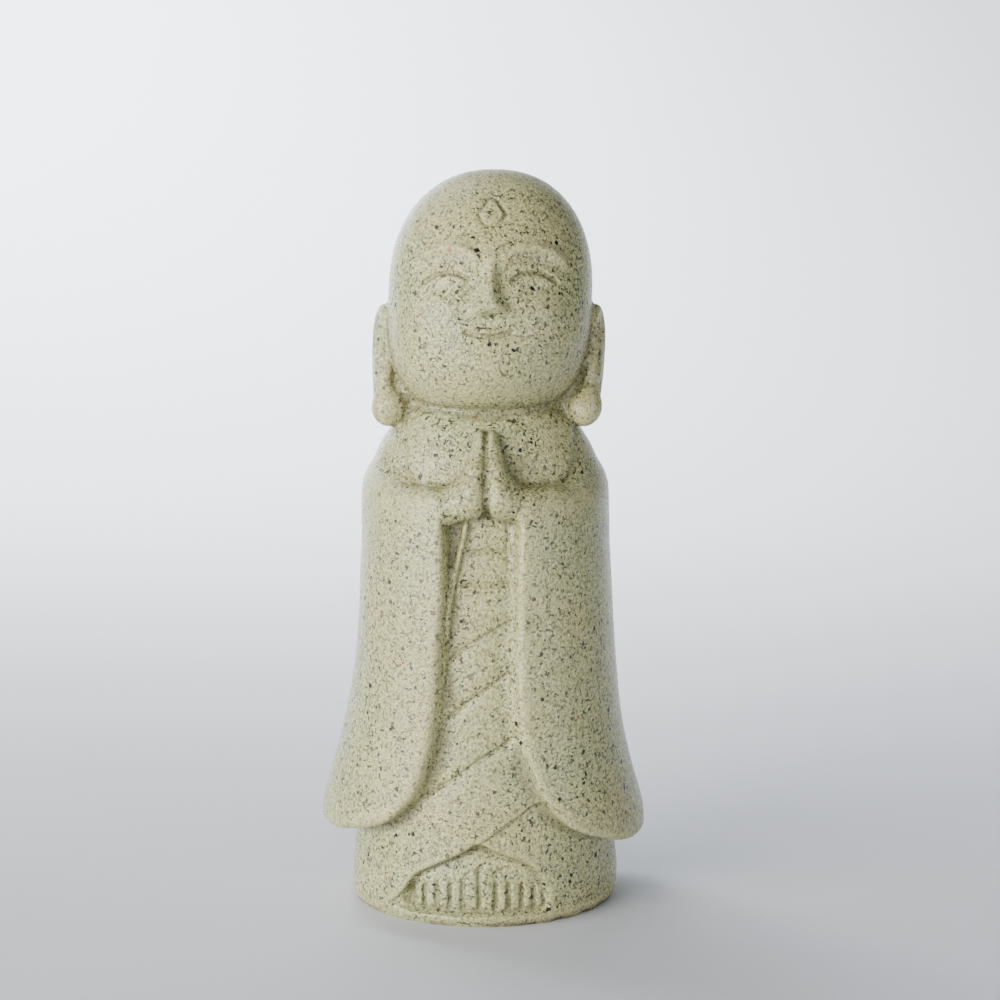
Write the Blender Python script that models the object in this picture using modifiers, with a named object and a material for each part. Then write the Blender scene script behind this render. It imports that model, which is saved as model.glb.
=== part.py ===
"""A standing child monk in cast stone, hands pressed together before the chest, about 22 cm tall.

Metres, +Z up. The figure looks along -Y, and left and right are as a viewer in front sees them,
so left is -X. The origin is at the middle of the underside. The casting is one solid piece.

The form is written as a distance: each function below takes an array of points and gives how far
each one lies outside that form, negative inside. Forms are joined and cut by comparing distances.
A rough block of Blender's primitives is remeshed and its vertices are moved onto that form.
"""

import math

import bmesh
import bpy
import numpy as np
from mathutils import Matrix, Vector

# Driving dimensions, in metres
HEIGHT = 0.220
HEAD_HEIGHT = 0.0735
CHIN_SINK = 0.002
SHOULDER_HEIGHT = HEIGHT - HEAD_HEIGHT + CHIN_SINK
HEAD_WIDTH = 0.0604
HEAD_DEPTH = 0.058
SHOULDER_WIDTH = 0.0735
SHOULDER_DEPTH = 0.060
SLEEVE_REACH_LEFT = 0.0500
SLEEVE_REACH_RIGHT = 0.0485
SLEEVE_FRONT = 0.0415
SLEEVE_BACK = 0.0365
SKIRT_WIDTH = 0.0820
SKIRT_FRONT = 0.038
SKIRT_BACK = 0.0365
SLAB_HEIGHT = 0.0034
FEET_WIDTH = 0.0400
TOE_WIDTH = 0.0038
TOE_SETBACK = 0.0025
NECK_FILLET = 0.0014

# The head looks a little up, and its crown sits a little to the viewer's right
HEAD_TILT = math.radians(14)
HEAD_SWAY = 0.03

# Finish of the casting
STONE_COLOUR = (0.62, 0.61, 0.47, 1.0)
STONE_ROUGHNESS = 0.42

# Fineness of the mesh, in metres: each pass remeshes the form with a smaller grid, and moves
# every vertex at most so far at a time
GRIDS = (0.0040, 0.0020, 0.0012, 0.0009)
REACHES = (0.0020, 0.0010, 0.0004, 0.0001)
SETTLE_STEPS = (4, 4, 3, 1)
TRIANGLES = 8600
UNDER_GROUND = 0.003

# Places and sizes on the body are shares of the height of the shoulders, and those on the head
# are shares of the head's height
BODY = SHOULDER_HEIGHT
HEAD_CENTRE = (0.0015, -0.0015, HEIGHT - HEAD_HEIGHT / 2)


def curve_through(places, values):
    """A smooth curve through the given values, as a function of place."""
    places = np.array(places, float)
    values = np.array(values, float)
    slopes = np.gradient(values, places)

    def at(place):
        place = np.clip(place, places[0], places[-1])
        i = np.clip(np.searchsorted(places, place) - 1, 0, len(places) - 2)
        step = places[i + 1] - places[i]
        t = (place - places[i]) / step
        rise = t * t * (3 - 2 * t)
        start = t * (1 - t) ** 2 * slopes[i]
        end = t * t * (1 - t) * slopes[i + 1]
        return values[i] * (1 - rise) + values[i + 1] * rise + step * (start - end)

    return at


def smooth_path(points, steps=5):
    """Points along a smooth line through the given ones."""
    points = np.array(points, float)
    knots = np.arange(len(points))
    along = np.linspace(0, len(points) - 1, steps * (len(points) - 1) + 1)
    return np.column_stack([curve_through(knots, axis)(along) for axis in points.T])


def join(a, b, radius):
    """The union of two forms, with a fillet."""
    near = np.maximum(radius - np.abs(a - b), 0) / radius
    return np.minimum(a, b) - near * near * radius / 4


def keep(a, b, radius):
    """What two forms share, with a rounded edge."""
    return -join(-a, -b, radius)


def ease(t):
    """0 below 0, 1 above 1, and a smooth rise between."""
    t = np.clip(t, 0, 1)
    return t * t * (3 - 2 * t)


def path_distance(x, z, path):
    """Distance in the front view to a line of straight steps."""
    best = np.full(len(x), np.inf)
    for (x0, z0), (x1, z1) in zip(path[:-1], path[1:]):
        dx, dz = x1 - x0, z1 - z0
        t = np.clip(((x - x0) * dx + (z - z0) * dz) / max(dx * dx + dz * dz, 1e-12), 0, 1)
        best = np.minimum(best, (x - x0 - t * dx) ** 2 + (z - z0 - t * dz) ** 2)
    return np.sqrt(best)


def outline_distance(x, z, outline):
    """Distance in the front view to a closed outline, negative inside."""
    closed = np.vstack([outline, outline[:1]])
    inside = np.zeros(len(x), bool)
    for (x0, z0), (x1, z1) in zip(closed[:-1], closed[1:]):
        if z0 != z1:
            crosses = (z0 > z) != (z1 > z)
            inside ^= crosses & (x < x0 + (z - z0) * (x1 - x0) / (z1 - z0))
    return np.where(inside, -1, 1) * path_distance(x, z, closed)


def column(p, left, right, front, back, power):
    """An upright form with rounded sections, from its four reaches at each height."""
    x, y, z = p.T
    wide = np.where(x < 0, left(z), right(z))
    deep = np.where(y < 0, front(z), back(z))
    scale = ((np.abs(x) / wide) ** power + (np.abs(y) / deep) ** power) ** (1 / power)
    scale = np.maximum(scale, 1e-4)
    return np.maximum(np.hypot(x, y), 1e-4 * wide) * (1 - 1 / scale)


def ellipsoid(p, centre, radii):
    q = (p - centre) / radii
    size = np.maximum(np.linalg.norm(q, axis=1), 1e-6)
    return size * (size - 1) / np.maximum(np.linalg.norm(q / radii, axis=1), 1e-6)


def limb(p, start, end, start_radius, end_radius):
    """A round form that tapers between two points."""
    start, end = np.array(start, float), np.array(end, float)
    along = end - start
    t = np.clip((p - start) @ along / (along @ along), 0, 1)
    away = np.linalg.norm(p - start - t[:, None] * along, axis=1)
    return away - start_radius - (end_radius - start_radius) * t


# The body. Reaches are given from the middle outwards, at heights from the ground up. A power tells
# how square a form's sections are, where 2 is an oval. A join or an edge is the size of a rounding,
# and a fade is how far a carved form takes to die out.

ROBE_HEIGHTS = (0.0, 0.012, 0.04, 0.115, 0.25, 0.40, 0.67, 0.80, 0.90)
ROBE_LEFTS = (0.975, 0.996, 1.0, 0.975, 0.94, 0.895, 0.84, 0.80, 0.72)
ROBE_RIGHTS = (0.940, 0.970, 0.985, 0.965, 0.94, 0.895, 0.84, 0.80, 0.72)
ROBE_FRONTS = (0.945, 0.980, 1.0, 1.0, 0.985, 0.935, 0.86, 0.80, 0.68)
ROBE_BACKS = (0.965, 0.990, 1.0, 0.985, 0.95, 0.90, 0.86, 0.84, 0.82)
ROBE_TOP = 0.86
ROBE_EDGE = 0.02
ROBE_POWER = 2.0

SLEEVE_HEIGHTS = (0.12, 0.18, 0.27, 0.34, 0.40, 0.47, 0.57, 0.72, 0.80, 0.87)
SLEEVE_LEFTS = (1.0, 1.0, 0.938, 0.882, 0.838, 0.800, 0.770, 0.748, 0.725, 0.705)
SLEEVE_RIGHTS = (1.0, 0.998, 0.925, 0.876, 0.846, 0.825, 0.802, 0.774, 0.752, 0.730)
SLEEVE_FRONTS = (1.01, 1.0, 0.985, 0.975, 0.965, 0.955, 0.945, 0.935, 0.928, 0.915)
SLEEVE_BACKS = (1.0, 0.99, 0.965, 0.945, 0.93, 0.915, 0.90, 0.87, 0.84, 0.81)
SLEEVE_TOP = 0.872
SLEEVE_EDGE_LEFT = (
    (-0.086, 1.20), (-0.084, 0.78), (-0.085, 0.66), (-0.095, 0.53), (-0.108, 0.394), (-0.133, 0.293),
    (-0.165, 0.243), (-0.206, 0.207), (-0.265, 0.186), (-0.337, 0.173), (-0.60, 0.178),
)
SLEEVE_EDGE_RIGHT = (
    (0.073, 1.20), (0.071, 0.78), (0.069, 0.66), (0.070, 0.53), (0.076, 0.41), (0.1125, 0.284),
    (0.167, 0.207), (0.239, 0.170), (0.285, 0.153), (0.335, 0.150), (0.60, 0.156),
)
SLEEVE_EDGE_BACK = ((0.20, 1.20), (0.20, 0.60), (0.205, 0.32), (0.235, 0.220), (0.300, 0.178), (0.60, 0.170))
SLEEVE_RIM = 0.013
SLEEVE_SHOULDER = 0.036
SLEEVE_POWER = 2.3
SLEEVE_TURN = 0.12
WALL_HEIGHTS = (0.17, 0.30, 0.42, 0.60, 0.80)
WALL_SLOPES = (0.20, 0.60, 0.75, 0.50, 0.30)

TORSO_HEIGHTS = (0.72, 0.80, 0.87, 0.90, 0.93, 0.96, 0.985, 1.01, 1.04)
TORSO_WIDTHS = (0.930, 0.935, 0.930, 0.910, 0.868, 0.795, 0.735, 0.65, 0.50)
TORSO_FRONTS = (0.97, 0.97, 0.925, 0.885, 0.845, 0.80, 0.75, 0.66, 0.50)
TORSO_BACKS = (1.04, 1.04, 1.01, 0.98, 0.93, 0.865, 0.80, 0.70, 0.52)
TORSO_TOP = 1.03
TORSO_EDGE = 0.02
TORSO_POWER = 2.2

BIB_LEFT, BIB_RIGHT, BIB_BOTTOM = -0.153, 0.172, 0.866
BIB_CORNER = 0.060
BIB_RAISE = 0.0095

HAND_LINE = 0.0027
HAND_SPINE = ((0.010, -0.180, 0.966), (0.020, -0.218, 0.902), (0.031, -0.234, 0.852))
HAND_RADII = (0.013, 0.021, 0.033)
CUFF_PLACE = (0.078, -0.196, 0.834)
CUFF_RADIUS = 0.035
THUMB = ((0.009, -0.192, 0.954), (0.023, -0.247, 0.872))
THUMB_RADII = (0.008, 0.013)
HAND_GAP_WIDTH = 0.0045
HAND_GAP_DEPTH = 0.010
HAND_DEPTH = 0.12
HAND_BACK_EDGE = 0.01
FINGER_JOIN, WRIST_JOIN, THUMB_JOIN, PALM_JOIN = 0.004, 0.026, 0.018, 0.001
HEEL_GAP, HEEL_GAP_TOP, HEEL_GAP_FADE = 0.005, 0.86, 0.06

SASH_LINES = (0.748, 0.681)
SASH_LEFT, SASH_RIGHT = -0.040, 0.049
SASH_LEAN, SASH_LEAN_FROM = 0.16, 0.74
SASH_LEFT_FADE, SASH_RIGHT_FADE = 0.008, 0.006
LAPEL_EDGE = ((-0.036, 0.82), (-0.040, 0.78), (-0.052, 0.73), (-0.066, 0.66), (-0.075, 0.58))
FOLDS = (
    ((0.058, 0.615), (-0.007, 0.579), (-0.061, 0.541), (-0.080, 0.505)),
    ((0.058, 0.518), (0.028, 0.497), (-0.020, 0.461), (-0.085, 0.408)),
    ((0.062, 0.388), (0.030, 0.364), (-0.013, 0.336), (-0.061, 0.300), (-0.125, 0.256)),
)
LAPEL_WIDTH, LAPEL_RAISE = 0.0058, 0.012
STRIP_PLACE, STRIP_FOOT, STRIP_RAISE = 0.046, 0.33, 0.0085
GROOVE_WIDTH = 0.0042
GROOVE_DEPTH = 0.0085
STRIP_TOP = 0.90
STRIP_SIDE_FADE, STRIP_TOP_FADE, STRIP_FOOT_FADE = 0.006, 0.02, 0.10
FLAP_EDGE = (
    (0.160, 0.290), (0.125, 0.262), (0.073, 0.231), (0.017, 0.191), (-0.050, 0.145), (-0.127, 0.102),
    (-0.155, 0.070), (-0.190, 0.030),
)
NICHE_RIGHT = (
    (-0.017, 0.166), (0.050, 0.138), (0.086, 0.120), (0.105, 0.098), (0.127, 0.071), (0.135, 0.030),
)
FLAP_STEP = 0.0065
FLAP_SOFTNESS = 0.008
FLAP_FADE = 0.10
SLAB_EDGE = 0.004
NICHE_DEPTH = 0.032
NICHE_EDGE = 0.020
NICHE_ENDS = (-0.180, 0.140)
NICHE_END_FADE = 0.05
FOLDS_FROM, HEM_UP_TO = 0.22, 0.34
CARVED_HALF, CARVED_DEPTH = 0.30, 0.10
FEET_MIDDLE = -0.0115
FEET_DEPTH = 0.10
FEET_EDGE, FEET_BACK_EDGE = 0.012, 0.01
FEET_LEAN, FEET_LEAN_RISE, FEET_FLATNESS = 0.20, 0.20, 0.8
SOLE_ROUNDING = 0.010
TOE_SHARES = (1.27, 1.0, 1.02, 0.96, 0.84)
TOE_TOP, TOE_TOP_MIDDLE, TOE_TOP_FALL = 0.084, 0.106, 0.16
TOE_GROOVE_WIDTH = 0.0050
TOE_GROOVE_DEPTH = 0.014
TOE_GROOVE_FADE = 0.025
FEET_JOIN, CHEST_JOIN, HANDS_JOIN, SLEEVE_JOIN, SHOULDER_JOIN = 0.004, 0.02, 0.008, 0.012, 0.040
SHOULDER_FROM, SHOULDER_RISE = (0.12, 0.68), (0.09, 0.16)


def profile(heights, shares, size):
    """The reach of a form at each height, as shares of a real size."""
    return curve_through(heights, np.array(shares) * size / BODY)


def robe(p):
    left = profile(ROBE_HEIGHTS, ROBE_LEFTS, SKIRT_WIDTH / 2)
    right = profile(ROBE_HEIGHTS, ROBE_RIGHTS, SKIRT_WIDTH / 2)
    front = profile(ROBE_HEIGHTS, ROBE_FRONTS, SKIRT_FRONT)
    back = profile(ROBE_HEIGHTS, ROBE_BACKS, SKIRT_BACK)
    return column(p, left, right, front, back, ROBE_POWER)


def torso(p):
    wide = profile(TORSO_HEIGHTS, TORSO_WIDTHS, SHOULDER_WIDTH / 2)
    front = profile(TORSO_HEIGHTS, TORSO_FRONTS, SHOULDER_DEPTH / 2)
    back = profile(TORSO_HEIGHTS, TORSO_BACKS, SHOULDER_DEPTH / 2)
    form = column(p, wide, wide, front, back, TORSO_POWER)
    return keep(form, p[:, 2] - TORSO_TOP, TORSO_EDGE)


def sleeve_outline(edge, side):
    """The front view of the space that a sleeve fills: outside its inner edge and above its hem."""
    curve = smooth_path(edge)
    return np.vstack([curve, [(side * 0.60, 1.20)]])


def sleeves(p):
    """Both sleeves, hanging from the forearms and round the body's sides."""
    x, y, z = p.T
    left = profile(SLEEVE_HEIGHTS, SLEEVE_LEFTS, SLEEVE_REACH_LEFT)
    right = profile(SLEEVE_HEIGHTS, SLEEVE_RIGHTS, SLEEVE_REACH_RIGHT)
    front = profile(SLEEVE_HEIGHTS, SLEEVE_FRONTS, SLEEVE_FRONT)
    back = profile(SLEEVE_HEIGHTS, SLEEVE_BACKS, SLEEVE_BACK)
    cloth = column(p, left, right, front, back, SLEEVE_POWER)
    behind = ease(0.5 + y / SLEEVE_TURN)
    slope = curve_through(WALL_HEIGHTS, WALL_SLOPES)(z)
    form = np.full(len(p), np.inf)
    for side, edge in ((-1, SLEEVE_EDGE_LEFT), (1, SLEEVE_EDGE_RIGHT)):
        back_edge = [(side * ex, ez) for ex, ez in SLEEVE_EDGE_BACK]
        limit = outline_distance(x, z, sleeve_outline(edge, side)) * (1 - behind)
        limit += outline_distance(x, z, sleeve_outline(back_edge, side)) * behind
        limit = (limit + slope * np.minimum(cloth, 0)) / np.hypot(1, slope)
        form = np.minimum(form, keep(cloth, limit, SLEEVE_RIM))
    return keep(form, z - SLEEVE_TOP, SLEEVE_SHOULDER)


def limb_before_chest(p, start, end, start_radius, end_radius):
    """A limb that runs straight back into the chest behind its own middle line."""
    share = np.clip((p[:, 2] - end[2]) / (start[2] - end[2]), 0, 1) if start[2] > end[2] + 0.02 else 0.5
    middle = end[1] + share * (start[1] - end[1])
    level = p.copy()
    level[:, 1] = np.minimum(p[:, 1] - middle, 0)
    return limb(level, (start[0], 0, start[2]), (end[0], 0, end[2]), start_radius, end_radius)


def hands(p):
    """Two flat hands, palm to palm, and the wrists that come out of the sleeves."""
    form = np.full(len(p), np.inf)
    for side in (-1, 1):
        tip, knuckle, heel, cuff = (
            (HAND_LINE + side * place[0], place[1], place[2]) for place in (*HAND_SPINE, CUFF_PLACE)
        )
        fingers = limb_before_chest(p, tip, knuckle, HAND_RADII[0], HAND_RADII[1])
        palm = limb_before_chest(p, knuckle, heel, HAND_RADII[1], HAND_RADII[2])
        wrist = limb_before_chest(p, heel, cuff, HAND_RADII[2], CUFF_RADIUS)
        high, low = ((HAND_LINE + side * place[0], place[1], place[2]) for place in THUMB)
        thumb = limb(p, high, low, *THUMB_RADII)
        hand = join(join(join(fingers, palm, FINGER_JOIN), wrist, WRIST_JOIN), thumb, THUMB_JOIN)
        form = join(form, hand, PALM_JOIN) if side > 0 else hand
    apart = np.abs(p[:, 0] - HAND_LINE) - HEEL_GAP * ease((HEEL_GAP_TOP - p[:, 2]) / HEEL_GAP_FADE)
    form += HAND_GAP_DEPTH * np.exp(-((np.maximum(apart, 0) / HAND_GAP_WIDTH) ** 2))
    return keep(form, p[:, 1] + HAND_DEPTH, HAND_BACK_EDGE)


def raised(distance, width):
    """1 inside an outline and 0 outside, with a soft edge of the given width."""
    return ease(0.5 - distance / width)


def bib_raise(x, z):
    """How far the bib over the chest stands proud."""
    middle, half = (BIB_LEFT + BIB_RIGHT) / 2, (BIB_RIGHT - BIB_LEFT) / 2
    over_x = np.maximum(np.abs(x - middle) - half + BIB_CORNER, 0)
    over_z = np.maximum(BIB_BOTTOM - z + BIB_CORNER, 0)
    distance = np.hypot(over_x, over_z) - BIB_CORNER
    rim = 0.75 * raised(distance, 0.010) + 0.25 * raised(distance + 0.03, 0.06)
    return BIB_RAISE * (rim - 0.25 * np.exp(-(((distance - 0.004) / 0.006) ** 2)))


def groove(distance):
    """The depth of a carved line, sharp in the middle, between two softly swelling bands."""
    sharp = np.exp(-((distance / GROOVE_WIDTH) ** 2))
    soft = np.exp(-((distance / (4 * GROOVE_WIDTH)) ** 2))
    return GROOVE_DEPTH * (0.6 * sharp + 0.4 * soft)


def folds(x, z):
    """Depth cut into the robe's front between the sleeves: sash, lapels and slanting folds."""
    cut = np.zeros(len(x))
    left_end = SASH_LEFT + SASH_LEAN * (z - SASH_LEAN_FROM)
    inner = ease((x - left_end) / SASH_LEFT_FADE) * ease((SASH_RIGHT - x) / SASH_RIGHT_FADE)
    for line in SASH_LINES:
        cut += groove(np.abs(z - line)) * inner
    lapel = path_distance(x, z, smooth_path(LAPEL_EDGE))
    cut -= LAPEL_RAISE * np.exp(-((lapel / LAPEL_WIDTH) ** 4))
    strip = ease((x - STRIP_PLACE) / STRIP_SIDE_FADE) * ease((STRIP_TOP - z) / STRIP_TOP_FADE)
    strip *= ease((z - STRIP_FOOT) / STRIP_FOOT_FADE)
    cut -= STRIP_RAISE * strip
    for fold in FOLDS:
        cut += groove(path_distance(x, z, smooth_path(fold)))
    return cut


def hem(x, z):
    """Depth cut into the robe's front at its foot: the layer under the flap, the opening over the feet."""
    over_slab = ease((z - SLAB_HEIGHT / BODY + SLAB_EDGE / 2) / SLAB_EDGE)
    flap = np.vstack([smooth_path(FLAP_EDGE), [(0.6, -0.1), (0.6, 0.29)]])
    edge = outline_distance(x, z, flap)
    under = raised(edge, FLAP_SOFTNESS) * np.exp(-((np.maximum(-edge, 0) / FLAP_FADE) ** 2))
    left = [NICHE_RIGHT[0]] + [place for place in FLAP_EDGE if place[0] < NICHE_RIGHT[0][0]]
    opening = np.vstack([smooth_path(left), smooth_path(NICHE_RIGHT)[::-1]])
    niche = raised(outline_distance(x, z, opening), NICHE_EDGE)
    niche *= ease((x - NICHE_ENDS[0]) / NICHE_END_FADE) * ease((NICHE_ENDS[1] - x) / NICHE_END_FADE)
    return (FLAP_STEP * under + NICHE_DEPTH * niche) * over_slab


def front_carving(x, z):
    cut = np.zeros(len(x))
    upper, lower = z > FOLDS_FROM, z < HEM_UP_TO
    cut[upper] += folds(x[upper], z[upper])
    cut[lower] += hem(x[lower], z[lower])
    return cut


def toe_grooves():
    """The place of each groove beside a toe, across both feet."""
    yield FEET_MIDDLE
    for side in (-1, 1):
        edge = FEET_MIDDLE
        for share in TOE_SHARES:
            edge += side * share * TOE_WIDTH / BODY
            yield edge


def feet(p):
    """Two bare feet under the hem: low domes that end on the slab, with round toes between grooves."""
    x, y, z = p.T
    slab, front = SLAB_HEIGHT / BODY, SKIRT_FRONT / BODY
    up = np.maximum(z - slab, 0)
    round_off = front * (1 - np.sqrt(np.maximum(1 - (x * BODY * 2 / SKIRT_WIDTH) ** 2, 0.2)))
    lean = FEET_LEAN * ease(up / FEET_LEAN_RISE) * up
    lean = lean + SOLE_ROUNDING * np.exp(-((up / SOLE_ROUNDING) ** 2))
    form = TOE_SETBACK / BODY - front + round_off + lean - y
    for place in toe_grooves():
        top = TOE_TOP_MIDDLE if place == FEET_MIDDLE else TOE_TOP - TOE_TOP_FALL * abs(place - FEET_MIDDLE)
        cleft = np.exp(-(((x - place) / TOE_GROOVE_WIDTH) ** 2)) * ease((top - up) / TOE_GROOVE_FADE)
        form += TOE_GROOVE_DEPTH * cleft
    half = FEET_WIDTH / BODY / 2
    form = keep(form, np.hypot(x - FEET_MIDDLE, FEET_FLATNESS * up) - half, FEET_EDGE)
    return keep(form, y + FEET_DEPTH, FEET_BACK_EDGE)


def gown(p):
    """The robe from the ground to the chest, with its carved front and the feet under its hem."""
    x, y, z = p.T
    form = keep(robe(p), z - ROBE_TOP, ROBE_EDGE)
    front = (y < 0) & (np.abs(x) < CARVED_HALF)
    form[front] += ease(-y[front] / CARVED_DEPTH) * front_carving(x[front], z[front])
    return join(form, feet(p), FEET_JOIN)


def body(points):
    """The clothed body, from the slab under the feet to the neck."""
    p = points / BODY
    x, y, z = p.T
    chest = torso(p) - bib_raise(x, z) * ease(-y / CARVED_DEPTH)
    form = join(chest, gown(p), CHEST_JOIN)
    outward = ease((np.abs(x) - SHOULDER_FROM[0]) / SHOULDER_RISE[0])
    upward = ease((z - SHOULDER_FROM[1]) / SHOULDER_RISE[1])
    form = join(form, sleeves(p), SLEEVE_JOIN + SHOULDER_JOIN * outward * upward)
    form = join(form, hands(p), HANDS_JOIN)
    return BODY * form


# The head. Its places and sizes are shares of the head's height, from its centre, in its own tilt.

EYE_LINE = 0.0
BROW_RISE = 0.115
NOSE_BASE = -0.150
MOUTH_LINE = -0.235
EYE_PLACE = 0.172
EYE_WIDTH = 0.165
URNA_HEIGHT = 0.252
URNA_SIZE = 0.044
URNA_LENGTH = 0.050
URNA_TAPER, URNA_RAISE, URNA_GROOVE = 0.72, 0.008, 0.009
FACE_DEPTH = 0.15
SKULL_SECTION, SKULL_POWER, SKULL_POWER_SWING, SKULL_POWER_RISE = 2.2, 2.6, 0.3, 0.15

# Soft swells and hollows of the face: place to the side, height, half width, half height, raise
SOCKET = (0.165, 0.012, 0.095, 0.070, -0.030)
LID = (EYE_PLACE, 0.006, 0.085, 0.045, 0.026)
CHEEK = (0.21, -0.135, 0.13, 0.10, 0.012)
CHIN = (0.0, -0.37, 0.12, 0.075, 0.014)
LIPS = (0.0, MOUTH_LINE, 0.075, 0.030, 0.016)


def head_turn():
    sway = Matrix(((1, 0, HEAD_SWAY), (0, 1, 0), (0, 0, 1)))
    return sway @ Matrix.Rotation(-HEAD_TILT, 3, "X")


def head_frame(points):
    """The points in the head's own axes and shares."""
    return (points - HEAD_CENTRE) @ np.array(head_turn().inverted()).T / HEAD_HEIGHT


def swell(side, z, place, height, half_width, half_height, rise):
    return rise * np.exp(-(((side - place) / half_width) ** 2) - (((z - height) / half_height) ** 2))


def face_relief(x, z):
    """How far the face stands out from the plain head, or is cut into it."""
    side = np.abs(x)
    brow_line = curve_through((0.04, 0.10, 0.18, 0.26, 0.32), (0.055, 0.098, BROW_RISE, 0.095, 0.055))
    brow = np.exp(-(((z - brow_line(side)) / 0.022) ** 2))
    brow *= ease((side - 0.02) / 0.05) * ease((0.34 - side) / 0.1)
    ridge_half = curve_through((-0.20, NOSE_BASE, -0.08, 0.06, 0.12), (0.056, 0.056, 0.038, 0.034, 0.07))(z)
    ridge = np.exp(-((side / ridge_half) ** 2.4)) * ease((z - NOSE_BASE + 0.014) / 0.026)
    rise = curve_through((NOSE_BASE, -0.115, 0.0, 0.10, 0.18), (0.040, 0.046, 0.024, 0.010, 0.0))(z)
    relief = swell(side, z, *SOCKET) + swell(side, z, *LID) + 0.017 * brow + rise * ridge
    relief += swell(side, z, *CHEEK) + swell(side, z, *CHIN) + swell(side, z, *LIPS)
    across = np.linspace(-0.5, 0.5, 5)
    lid_line = smooth_path(
        [(EYE_PLACE + EYE_WIDTH * s, EYE_LINE - 0.012 + 0.030 * (1 - 4 * s * s)) for s in across]
    )
    relief -= 0.026 * np.exp(-((path_distance(side, z, lid_line) / 0.0095) ** 2))
    smile = smooth_path([(-0.088, MOUTH_LINE + 0.016), (-0.045, MOUTH_LINE), (0, MOUTH_LINE - 0.005),
                         (0.045, MOUTH_LINE), (0.088, MOUTH_LINE + 0.016)])
    relief -= 0.026 * np.exp(-((path_distance(x, z, smile) / 0.0095) ** 2))
    wing = np.hypot((side - 0.046) / 0.026, (z - NOSE_BASE - 0.018) / 0.024)
    relief += 0.014 * np.exp(-(wing**2))
    return relief


def urna_relief(x, z):
    """The drop-shaped mark on the forehead, raised inside a fine groove."""
    up = z - URNA_HEIGHT
    along = np.clip(up / URNA_LENGTH, 0, 1)
    distance = np.hypot(x, up - along * URNA_LENGTH) - URNA_SIZE * (1 - URNA_TAPER * along)
    return URNA_RAISE * raised(distance, 0.011) - URNA_GROOVE * np.exp(-(((distance - 0.007) / 0.008) ** 2))


def skull(p):
    """A smooth egg, rounder on top and fuller at the jaw."""
    wide, deep = HEAD_WIDTH / HEAD_HEIGHT / 2, HEAD_DEPTH / HEAD_HEIGHT / 2
    x, y, z = np.abs(p).T
    power = SKULL_POWER - SKULL_POWER_SWING * np.tanh(p[:, 2] / SKULL_POWER_RISE)
    level = ((x / wide) ** SKULL_SECTION + (y / deep) ** SKULL_SECTION) ** (1 / SKULL_SECTION)
    scale = np.maximum((level**power + (z / 0.5) ** power) ** (1 / power), 1e-4)
    return np.maximum(np.linalg.norm(p, axis=1), 1e-4) * (1 - 1 / scale)


EAR_RIM = (
    (0.398, -0.020, -0.165), (0.412, -0.015, -0.090), (0.428, 0.035, -0.060), (0.444, 0.085, -0.105),
    (0.449, 0.100, -0.190), (0.444, 0.085, -0.290), (0.434, 0.045, -0.380),
)
EAR_RIM_RADIUS = 0.026
EAR_MIDDLE = (0.410, 0.050, -0.235)
EAR_SIZE = (0.052, 0.100, 0.205)
EAR_HOLLOW = ((0.450, 0.004, -0.140), (0.444, 0.004, -0.310), 0.028, 0.018)
EAR_FRONT_GROOVE = ((0.414, -0.050, -0.130), (0.414, -0.052, -0.350), 0.016, 0.010)
LOBE_PLACE = (0.392, 0.012, -0.455)
LOBE_SIZE = (0.072, 0.070, 0.080)
EAR_JOIN, RIM_JOIN, LOBE_JOIN, HOLLOW_EDGE = 0.016, 0.020, 0.040, 0.016


def ear(p, side):
    """A long ear with a rolled rim, a hollow inside the rim and a heavy lobe."""
    q = p * (side, 1, 1)
    rim = smooth_path(EAR_RIM, 3)
    tube = np.full(len(p), np.inf)
    for start, end in zip(rim[:-1], rim[1:]):
        tube = np.minimum(tube, limb(q, start, end, EAR_RIM_RADIUS, EAR_RIM_RADIUS))
    form = join(ellipsoid(q, EAR_MIDDLE, EAR_SIZE), tube, RIM_JOIN)
    form = join(form, ellipsoid(q, LOBE_PLACE, LOBE_SIZE), LOBE_JOIN)
    carved = np.minimum(limb(q, *EAR_HOLLOW), limb(q, *EAR_FRONT_GROOVE))
    return keep(form, -carved, HOLLOW_EDGE)


def head(points):
    p = head_frame(points)
    x, y, z = p.T
    ahead = ease(-y / FACE_DEPTH)
    face = skull(p) - (face_relief(x, z) + urna_relief(x, z)) * ahead
    for side in (-1, 1):
        face = join(face, ear(p, side), EAR_JOIN)
    return HEAD_HEIGHT * face


BODY_UP_TO, HEAD_FROM = 1.08, 0.92


def figure(points):
    """The whole casting, which runs on a little below the ground until it is cut off flat."""
    far = np.full(len(points), HEIGHT)
    low, high = far.copy(), far.copy()
    below, above = points[:, 2] < BODY_UP_TO * BODY, points[:, 2] > HEAD_FROM * BODY
    low[below], high[above] = body(points[below]), head(points[above])
    return np.maximum(join(low, high, NECK_FILLET), -points[:, 2] - UNDER_GROUND)


def nudge_onto(points, form, reach, steps=3):
    """Points moved onto the surface of a form, along the way it is nearest."""
    probe = 2e-5
    corners = np.array([(1, 1, 1), (1, -1, -1), (-1, 1, -1), (-1, -1, 1)], float)
    for _ in range(steps):
        around = np.array([form(points + probe * corner) for corner in corners])
        slope = corners.T @ around / (4 * probe)
        here = around.mean(axis=0)
        move = -here * slope / np.maximum((slope**2).sum(axis=0), 0.04)
        length = np.maximum(np.linalg.norm(move, axis=0), 1e-12)
        points = points + (move * np.minimum(1, reach / length)).T
    return points


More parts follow.
